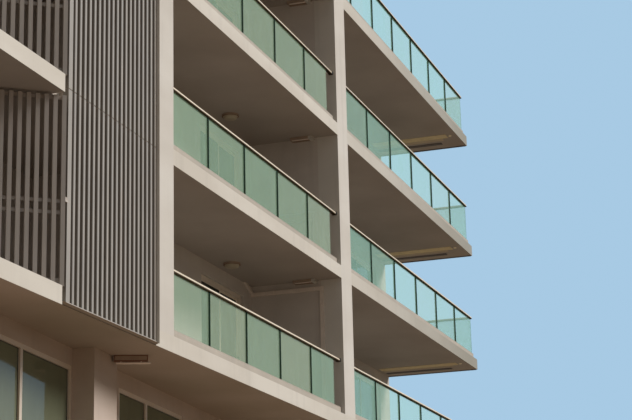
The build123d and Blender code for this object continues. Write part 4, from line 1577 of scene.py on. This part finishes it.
@dataclass
class Lights:
    """Tubes, caps, bowls and rings of the light fittings, and the soffits' east ends."""

    tube_radius: float = 0.016
    tube_sides: int = 16
    tube_shorter: float = 0.05
    tube_sink: float = 0.1
    box_tube_detail: Detail = Detail(0.004, 0.010, 0.002)
    batten_tube_detail: Detail = Detail(0.004, 0.008, 0.002)
    cap_length: float = 0.075
    cap_margin: Size = (0.006, 0.010, 0.008)
    cap_detail: Detail = Detail(0.012, -0.003, 0.004)
    frame_width: float = 0.015
    frame_edge: float = 0.002
    frame_margin: Size = (0.006, 0.002, 0.002)
    hanging_drop: float = 0.026
    hanging_shift: float = 0.035
    clip_half: Size = (0.020, 0.008, 0.012)
    clip_sink: float = 0.002
    clip_edge: float = 0.002
    clip_share: float = 0.6
    bowl_sides: int = 32
    bowl_depth: float = 0.05
    bowl_share: float = 0.9
    bowl_taper: float = 0.8
    bowl_flat: float = 0.25
    bowl_boss: float = 0.012
    bowl_edge: float = 0.008
    ring_share: float = 0.96
    ring_tube: float = 0.009
    ring_flatness: float = 0.6
    lamp_from_end: float = 1.09
    lamp_from_front: float = 0.19
    lamp_drop: float = 0.010
    lamp_radius: float = 0.04
    lamp_height: float = 0.022
    lamp_detail: Detail = Detail(0.014, -0.008, 0.002)
    # Strip of painted glow on the soffit, from behind the lamp to the slot's end.
    glow_width: float = 0.32
    glow_behind_lamp: float = 0.09
    glow_drop: float = 0.010
    glow_detail: Detail = Detail(0.014, -0.004, 0.002)
    slot_from_end: float = 0.70
    slot_from_front: float = 0.45
    slot_width: float = 0.35
    slot_length: float = 1.90
    cover_margin: float = 0.003
    cover_heights: tuple[float, float] = (0.001, 0.05)
    cover_detail: Detail = Detail(0.03, 0.002, 0.002)
    # Dark strips of painted shade east of each slot cover, where the slot's shade shows.
    slot_shade_from_end: float = 0.58
    slot_shade_width: float = 0.16
    slot_shade_behind_slot: float = 0.12
    slot_shade_drop: float = 0.014
    slot_shade_detail: Detail = Detail(0.02, 0.004, 0.002)
    drip_from_end: float = 0.09
    drip_width: float = 0.08
    drip_from_front: float = 0.03
    drip_past_slot: float = 0.1
    drip_drop: float = 0.012
    drip_detail: Detail = Detail(0.025, -0.006, 0.002)

    def tube(self, centre: Vector, length: float, ends: Detail) -> Workpiece:
        """A tube lying along Y."""
        tube = Workpiece.drum("tube", centre, self.tube_radius, length, Axis.Y, self.tube_sides)
        return tube.work(ends, FRONT, BACK)

    def build_box_lights(self) -> None:
        """A tube and an end cap in each open box light."""
        boxes = solids_of("box_lights")
        places = [placed(box.centre) for box in boxes]
        size = boxes[0].size
        centre = Vector((0, 0, -self.tube_sink * size.z))
        tube = self.tube(centre, size.y - self.tube_shorter, self.box_tube_detail)
        tube.copies("box_light_tubes", places).done(DIFFUSER)
        half = size / 2
        x, y, z = half + Vector(self.cap_margin)
        cap = Workpiece.block("cap", (-x, -y, -z), (x, -half.y + self.cap_length, half.z))
        cap.work(self.cap_detail, FRONT, DOWN)
        cap.copies("box_light_caps", places).done(WHITE_PLASTIC)

    def build_batten(self) -> None:
        """A frame round the batten's housing, and a tube clipped under it."""
        heading = heading_of("batten_light")
        box = solids_of("batten_light", heading)[0]
        place = [spun(heading) @ placed(box.centre)]
        half = box.size / 2
        x, y, z = half + Vector(self.frame_margin)
        frame_ring = Workpiece.block("frame", (-x, -y, -z), (x, y, half.z))
        frame_ring.pick_facing(EAST, WEST).inset(self.frame_width).hollow()
        frame_ring.soften(self.frame_edge)
        frame_ring.copies("batten_frame", place).done(TRIM_BROWN)
        hanging = -half.z - self.hanging_drop
        centre = Vector((0, -self.hanging_shift, hanging))
        tube = self.tube(centre, box.size.y, self.batten_tube_detail)
        wide, deep, under = self.clip_half
        for along in (-half.y * self.clip_share, half.y * self.clip_share):
            low = (-wide, along - deep, hanging - under)
            clip = Workpiece.block("clip", low, (wide, along + deep, -half.z + self.clip_sink))
            tube.join(clip.soften(self.clip_edge))
        tube.copies("batten_tube", place).done(DIFFUSER)

    def build_round_lights(self) -> None:
        """Shallow glass bowls under the round lights, each in a ring."""
        boxes = solids_of("round_lights")
        places = [placed(Vector((box.centre.x, box.centre.y, box.low.z))) for box in boxes]
        radius = boxes[0].size.x / 2
        foot = Vector((0, 0, -self.bowl_depth))
        reach = radius * self.bowl_share
        bowl = Workpiece.drum("bowl", foot / 2, reach, self.bowl_depth, Axis.Z, self.bowl_sides)
        bowl.pick_facing(DOWN).squeeze((self.bowl_taper, self.bowl_taper, 1.0), foot)
        bowl.pick_facing(DOWN).inset(radius * self.bowl_flat, self.bowl_boss)
        bowl.soften(self.bowl_edge, 2)
        bowl.copies("round_light_bowls", places).done(BOWL)
        origin = Vector((0, 0, 0))
        ring = Workpiece.ring("ring", origin, radius * self.ring_share, self.ring_tube)
        ring.pick(Pick.FACES, lambda face: True).squeeze((1, 1, self.ring_flatness), origin)
        ring.copies("round_light_rings", places).done(TRIM_BROWN)

    def build_soffit_ends(self) -> None:
        """Slot covers, painted glow and slot shade, drips and small lamps under the slabs' east
        ends.

        Each is measured from the corner of the slab's east end and front, on its underside.
        """
        slot_stop = self.slot_from_front + self.slot_length
        slot_east = -self.slot_from_end
        margin = self.cover_margin
        bottom, top = self.cover_heights
        half = self.glow_width / 2
        lamp = Vector((-self.lamp_from_end, self.lamp_from_front, -self.lamp_drop))
        slot_shade_start = self.slot_from_front + self.slot_shade_behind_slot
        pieces = (
            (
                "soffit_slot_covers", COVER, self.cover_detail,
                (slot_east - self.slot_width + margin, self.slot_from_front + margin, bottom),
                (slot_east - margin, slot_stop - margin, top),
            ),
            # Painted light: the warm glow on the soffit.
            (
                "soffit_painted_glow_strips", PAINTED_GLOW, self.glow_detail,
                (lamp.x - half, lamp.y + self.glow_behind_lamp, -self.glow_drop),
                (lamp.x + half, slot_stop, 0),
            ),
            # Painted shade: a dark strip where the slot's shade shows.
            (
                "soffit_slot_shade_strips", DRIP_AND_SLOT_SHADE, self.slot_shade_detail,
                (-self.slot_shade_from_end, slot_shade_start, -self.slot_shade_drop),
                (-self.slot_shade_from_end + self.slot_shade_width, slot_stop, 0),
            ),
            (
                "soffit_drips", DRIP_AND_SLOT_SHADE, self.drip_detail,
                (-self.drip_from_end, self.drip_from_front, -self.drip_drop),
                (-self.drip_from_end + self.drip_width, slot_stop + self.drip_past_slot, 0),
            ),
        )
        corner = box_of("first_slab")
        places = [
            placed(Vector((corner.high.x, corner.low.y, box_of(f"{level}_slab").low.z)))
            for level in Level
        ]
        for name, finish, detail, low, high in pieces:
            piece = Workpiece.block("soffit_piece", low, high).work(detail, DOWN)
            piece.copies(name, places).done(finish)
        spot = Workpiece.drum("spot", lamp, self.lamp_radius, self.lamp_height, Axis.Z)
        spot.work(self.lamp_detail, DOWN).copies("soffit_downlights", places).done(LIT_LAMP)

    def build(self) -> None:
        """All the light fittings."""
        self.build_box_lights()
        self.build_batten()
        self.build_round_lights()
        self.build_soffit_ends()


@dataclass
class WallPipes:
    """Clips on the trunking, and the pipes on the middle balcony's wall."""

    trunking_depth: float = 0.04
    trunking_height: float = 0.08
    level_below_top: float = 0.14
    clip_width: float = 0.022
    clip_margin: float = 0.005
    clip_detail: Detail = Detail(0.006, 0.003, 0.002)
    clip_spacing: float = 0.45
    first_along: float = 0.12
    first_down: float = 0.30
    pipe_radius: float = 0.020
    pipe_sides: int = 12
    pipe_off_wall: float = 0.006
    pipe_heights: tuple[float, float] = (1.20, 1.03)
    pipe_front: float = 0.42
    pipe_step: float = 0.07
    elbow: float = 0.08
    elbow_steps: int = 6
    weld_within: float = 0.0001

    def build_clips(self) -> None:
        """Clips round the trunking's level run and its drop."""
        run = box_of("cable_trunking")
        across = self.trunking_height
        half_width = self.clip_width / 2
        half = across / 2 + self.clip_margin
        low = (-self.trunking_depth - self.clip_margin, -half_width, -half)
        clip = Workpiece.block("clip", low, (0, half_width, half))
        clip.work(self.clip_detail, WEST)
        top = run.high.z - self.level_below_top
        places = []
        for index in range(int((run.size.y - across) / self.clip_spacing)):
            y = run.low.y + across + self.first_along + index * self.clip_spacing
            places.append(placed(Vector((run.high.x, y, top - across / 2))))
        lay = Matrix.Rotation(math.radians(90), 4, "X")
        for index in range(int(run.size.z / self.clip_spacing) - 1):
            z = top - across - self.first_down - index * self.clip_spacing
            places.append(placed(Vector((run.high.x, run.low.y + across / 2, z))) @ lay)
        clip.copies("trunking_clips", places).done(TRUNKING)

    def pipe(self, start: Vector, front: float, floor: float) -> Workpiece:
        """A pipe that runs level to the front, then bends down to the floor.

        Args:
            start: Where it leaves the wall behind.
            front: Where along Y it goes down.
            floor: The floor's height.

        Returns:
            The pipe.
        """
        Workpiece.clear_bench()
        bpy.ops.mesh.primitive_circle_add(
            vertices=self.pipe_sides, radius=self.pipe_radius, location=start,
            rotation=(math.radians(90), 0, 0),
        )
        bpy.ops.object.transform_apply(location=True, rotation=True, scale=True)
        pipe = Workpiece(bpy.context.active_object, "pipe")
        bend = Vector((start.x, front + self.elbow, start.z - self.elbow))
        pipe.pick(Pick.EDGES, lambda edge: True).push((0, bend.y - start.y, 0))
        bpy.ops.mesh.spin(
            steps=self.elbow_steps, angle=math.radians(90), axis=(1, 0, 0), center=tuple(bend)
        )
        pipe.push((0, 0, floor - bend.z))
        bpy.ops.mesh.select_all(action="SELECT")
        bpy.ops.mesh.remove_doubles(threshold=self.weld_within)
        bpy.ops.mesh.normals_make_consistent(inside=False)
        bpy.ops.object.mode_set(mode="OBJECT")
        return pipe

    def build_pipes(self) -> None:
        """The two pipes of the middle balcony."""
        slab = box_of("second_slab")
        x = box_of("right_dividing_wall").low.x - self.pipe_radius - self.pipe_off_wall
        back = min(wall.low.y for wall in solids_of("second_balcony_walls"))
        pipes = []
        for index, height in enumerate(self.pipe_heights):
            front = slab.low.y + self.pipe_front + index * self.pipe_step
            pipes.append(self.pipe(Vector((x, back, slab.high.z + height)), front, slab.high.z))
        Workpiece.merged("balcony_pipes", pipes).done(WHITE_PLASTIC)

    def build(self) -> None:
        """Clips and pipes."""
        self.build_clips()
        self.build_pipes()


@dataclass
class FloorsAndRoof:
    """Tiled floors, roof paving and the parapet's coping."""

    tile_thickness: float = 0.012
    paver_thickness: float = 0.03
    floor_detail: Detail = Detail(0.01, -0.001, 0.002)
    edge_gap: float = 0.012
    wall: float = 0.25
    kerb_zone: float = 0.155
    roof_kerb_zone: float = 0.08
    parapet: float = 0.20
    coping_thickness: float = 0.03
    coping_overhang: float = 0.03
    coping_sink: float = 0.004
    coping_detail: Detail = Detail(0.03, 0.006, 0.003)

    def floor(self, low: Size, far: tuple[float, float], thickness: float) -> Workpiece:
        """A tiled floor with eased edges.

        Args:
            low: Its lowest corner.
            far: Where it ends along X and Y.
            thickness: Its thickness.

        Returns:
            The floor.
        """
        sheet = Workpiece.block("sheet", low, (*far, low[2] + thickness))
        return sheet.work(self.floor_detail, UP)

    def build_balcony_floors(self, level: Level) -> None:
        """Tiles of the left balcony, the right balcony and the recess of one level.

        Args:
            level: The level.
        """
        slab = box_of(f"{level}_slab")
        gap = self.edge_gap
        front = slab.low.y + self.kerb_zone
        divide = box_of("right_pillar").low.x
        backs = [wall.low.y for wall in solids_of(f"{level}_balcony_walls")]
        left_back, right_back = min(backs) - gap, max(backs) - gap
        screens = box_of("louvre_rails").high.y + gap
        recess_end = box_of("left_dividing_wall").low.x - gap
        z = slab.high.z
        spans = (
            ((box_of("left_pillar").high.x + gap, front, z), (divide - gap, left_back)),
            ((divide + self.wall + gap, front, z), (slab.high.x - self.kerb_zone, right_back)),
            ((slab.low.x + self.wall + gap, screens, z), (recess_end, right_back)),
        )
        sheets = [self.floor(low, far, self.tile_thickness) for low, far in spans]
        Workpiece.merged(f"{level}_balcony_tiles", sheets).done(TILE)

    def build_roof_floor(self) -> None:
        """Paving inside the parapet, and out to the glass on the terrace."""
        roof = box_of("roof_slab")
        kerb = box_of("roof_kerb")
        inner = self.parapet + self.edge_gap
        terrace = box_of("left_pillar").high.x
        line = kerb.high.y
        z = roof.high.z
        zone = self.roof_kerb_zone
        spans = (
            ((roof.low.x + inner, roof.low.y + inner, z), (terrace, line)),
            ((terrace, kerb.low.y + zone, z), (kerb.high.x - zone, line)),
            ((roof.low.x + inner, line, z), (roof.high.x - inner, roof.high.y - inner)),
        )
        sheets = [self.floor(low, far, self.paver_thickness) for low, far in spans]
        Workpiece.merged("roof_paving", sheets).done(PAVER)

    def build_coping(self) -> None:
        """Coping with a raised middle along the four runs of the parapet."""
        parapet = box_of("roof_parapet")
        over = self.coping_overhang
        west, south, _ = parapet.low
        east, north, top = parapet.high
        reach = self.parapet + over
        front, back = south + reach, north - reach
        runs = (
            ((west - over, south - over), (box_of("left_pillar").high.x, front)),
            ((west - over, front), (west + reach, back)),
            ((west - over, back), (east + over, north + over)),
            ((east - reach, box_of("roof_kerb").high.y), (east + over, back)),
        )
        foot, head = top - self.coping_sink, top + self.coping_thickness
        lengths = []
        for near, far in runs:
            length = Workpiece.block("coping", (*near, foot), (*far, head))
            lengths.append(length.work(self.coping_detail, UP))
        Workpiece.merged("parapet_coping", lengths).done(SCREEN_RAIL)

    def build(self) -> None:
        """Floors, paving and coping."""
        for level in STOREYS:
            self.build_balcony_floors(level)
        self.build_roof_floor()
        self.build_coping()


@dataclass
class Studio:
    """Camera at the photograph's viewpoint, soft light, pale floor and background."""

    photo_width: float = 632.0
    focal_pixels: float = 1807.96
    sensor: float = 36.0
    farthest: float = 1000.0
    eye: Size = (-29.8246, -17.4333, 1.5995)
    yaw: float = 18.6142
    pitch: float = 15.442
    roll: float = -1.3809
    background: Colour = (0.39, 0.59, 0.775)
    ambient: Colour = (0.22, 0.22, 0.2156)
    floor_size: float = 400.0
    floor_below: float = 0.002
    floor_shown: Colour = (0.72, 0.74, 0.76)
    floor_lit: Colour = (0.26, 0.205, 0.15)
    sun_from: Size = (0.45, -0.75, 0.62)
    sun_strength: float = 3.0
    sun_angle: float = 24.0
    sun_colour: Colour = (1.0, 0.975, 0.94)

    def place_camera(self) -> None:
        """Adds the camera and makes it the scene's."""
        yaw, pitch, roll = (math.radians(angle) for angle in (self.yaw, self.pitch, self.roll))
        ahead = Vector((
            math.cos(pitch) * math.cos(yaw), math.cos(pitch) * math.sin(yaw), math.sin(pitch)
        ))
        level_right = Vector((math.sin(yaw), -math.cos(yaw), 0.0))
        level_up = level_right.cross(ahead)
        right = math.cos(roll) * level_right + math.sin(roll) * level_up
        up = math.cos(roll) * level_up - math.sin(roll) * level_right
        data = bpy.data.cameras.new("viewpoint")
        data.sensor_width = self.sensor
        data.sensor_fit = "HORIZONTAL"
        data.lens = self.focal_pixels / self.photo_width * self.sensor
        data.clip_end = self.farthest
        camera = bpy.data.objects.new("viewpoint", data)
        turn = Matrix((right, up, -ahead)).transposed().to_4x4()
        camera.matrix_world = Matrix.Translation(Vector(self.eye)) @ turn
        bpy.context.scene.collection.objects.link(camera)
        bpy.context.scene.camera = camera

    def seen(self, maker: NodeMaker) -> Value:
        """Tells the rays that show the background from those that light the object.

        Args:
            maker: Makes the world's nodes.

        Returns:
            1 for rays that show the background, 0 for the others.
        """
        kinds = ("Is Camera Ray", "Is Glossy Ray", "Is Transmission Ray")
        rays = [maker.node("ShaderNodeLightPath", output=kind) for kind in kinds]
        return maker.ramp(rays[0] + rays[1] + rays[2], 0.0, 1.0)

    def light_world(self) -> None:
        """A pale background, and a weaker even light from all round."""
        world = bpy.data.worlds.new("studio")
        world.use_nodes = True
        bpy.context.scene.world = world
        maker = NodeMaker(world.node_tree)
        colour = maker.blend(self.seen(maker), self.ambient, self.background)
        shader = maker.node("ShaderNodeBackground", inputs={"Color": colour})
        maker.node("ShaderNodeOutputWorld", inputs={"Surface": shader})

    def lay_floor(self) -> None:
        """A pale floor that keeps the object's shadow."""
        Workpiece.clear_bench()
        bpy.ops.mesh.primitive_plane_add(size=self.floor_size, location=(0, 0, -self.floor_below))
        floor = bpy.context.active_object
        floor.name = "floor"
        material = bpy.data.materials.new("floor_paint")
        material.use_nodes = True
        maker = NodeMaker(material.node_tree)
        shown = maker.node("ShaderNodeLightPath", output="Is Camera Ray")
        colour = maker.blend(shown, self.floor_lit, self.floor_shown)
        shader = maker.node("ShaderNodeBsdfDiffuse", inputs={"Color": colour})
        maker.node("ShaderNodeOutputMaterial", inputs={"Surface": shader})
        floor.data.materials.append(material)

    def hang_sun(self) -> None:
        """One broad, soft light from the front, high on the east side."""
        data = bpy.data.lights.new("key", "SUN")
        data.energy = self.sun_strength
        data.angle = math.radians(self.sun_angle)
        data.color = self.sun_colour
        lamp = bpy.data.objects.new("key", data)
        lamp.rotation_euler = Vector(self.sun_from).to_track_quat("Z", "Y").to_euler()
        bpy.context.scene.collection.objects.link(lamp)

    def build(self) -> None:
        """The whole studio."""
        bpy.context.scene.view_settings.view_transform = "Standard"
        self.place_camera()
        self.light_world()
        self.lay_floor()
        self.hang_sun()


def main() -> None:
    """Sets up the studio, dresses the solids and adds the trim, piece by piece."""
    logging.basicConfig(level=logging.INFO, format="%(name)s %(message)s")
    stages = (
        Studio(), Cladding(), BalustradeTrim(), ScreenTrim(), WindowTrim(), Lights(), WallPipes(),
        FloorsAndRoof(),
    )
    for stage in stages:
        stage.build()
        LOG.info("%s built", type(stage).__name__)


if __name__ == "__main__":
    main()
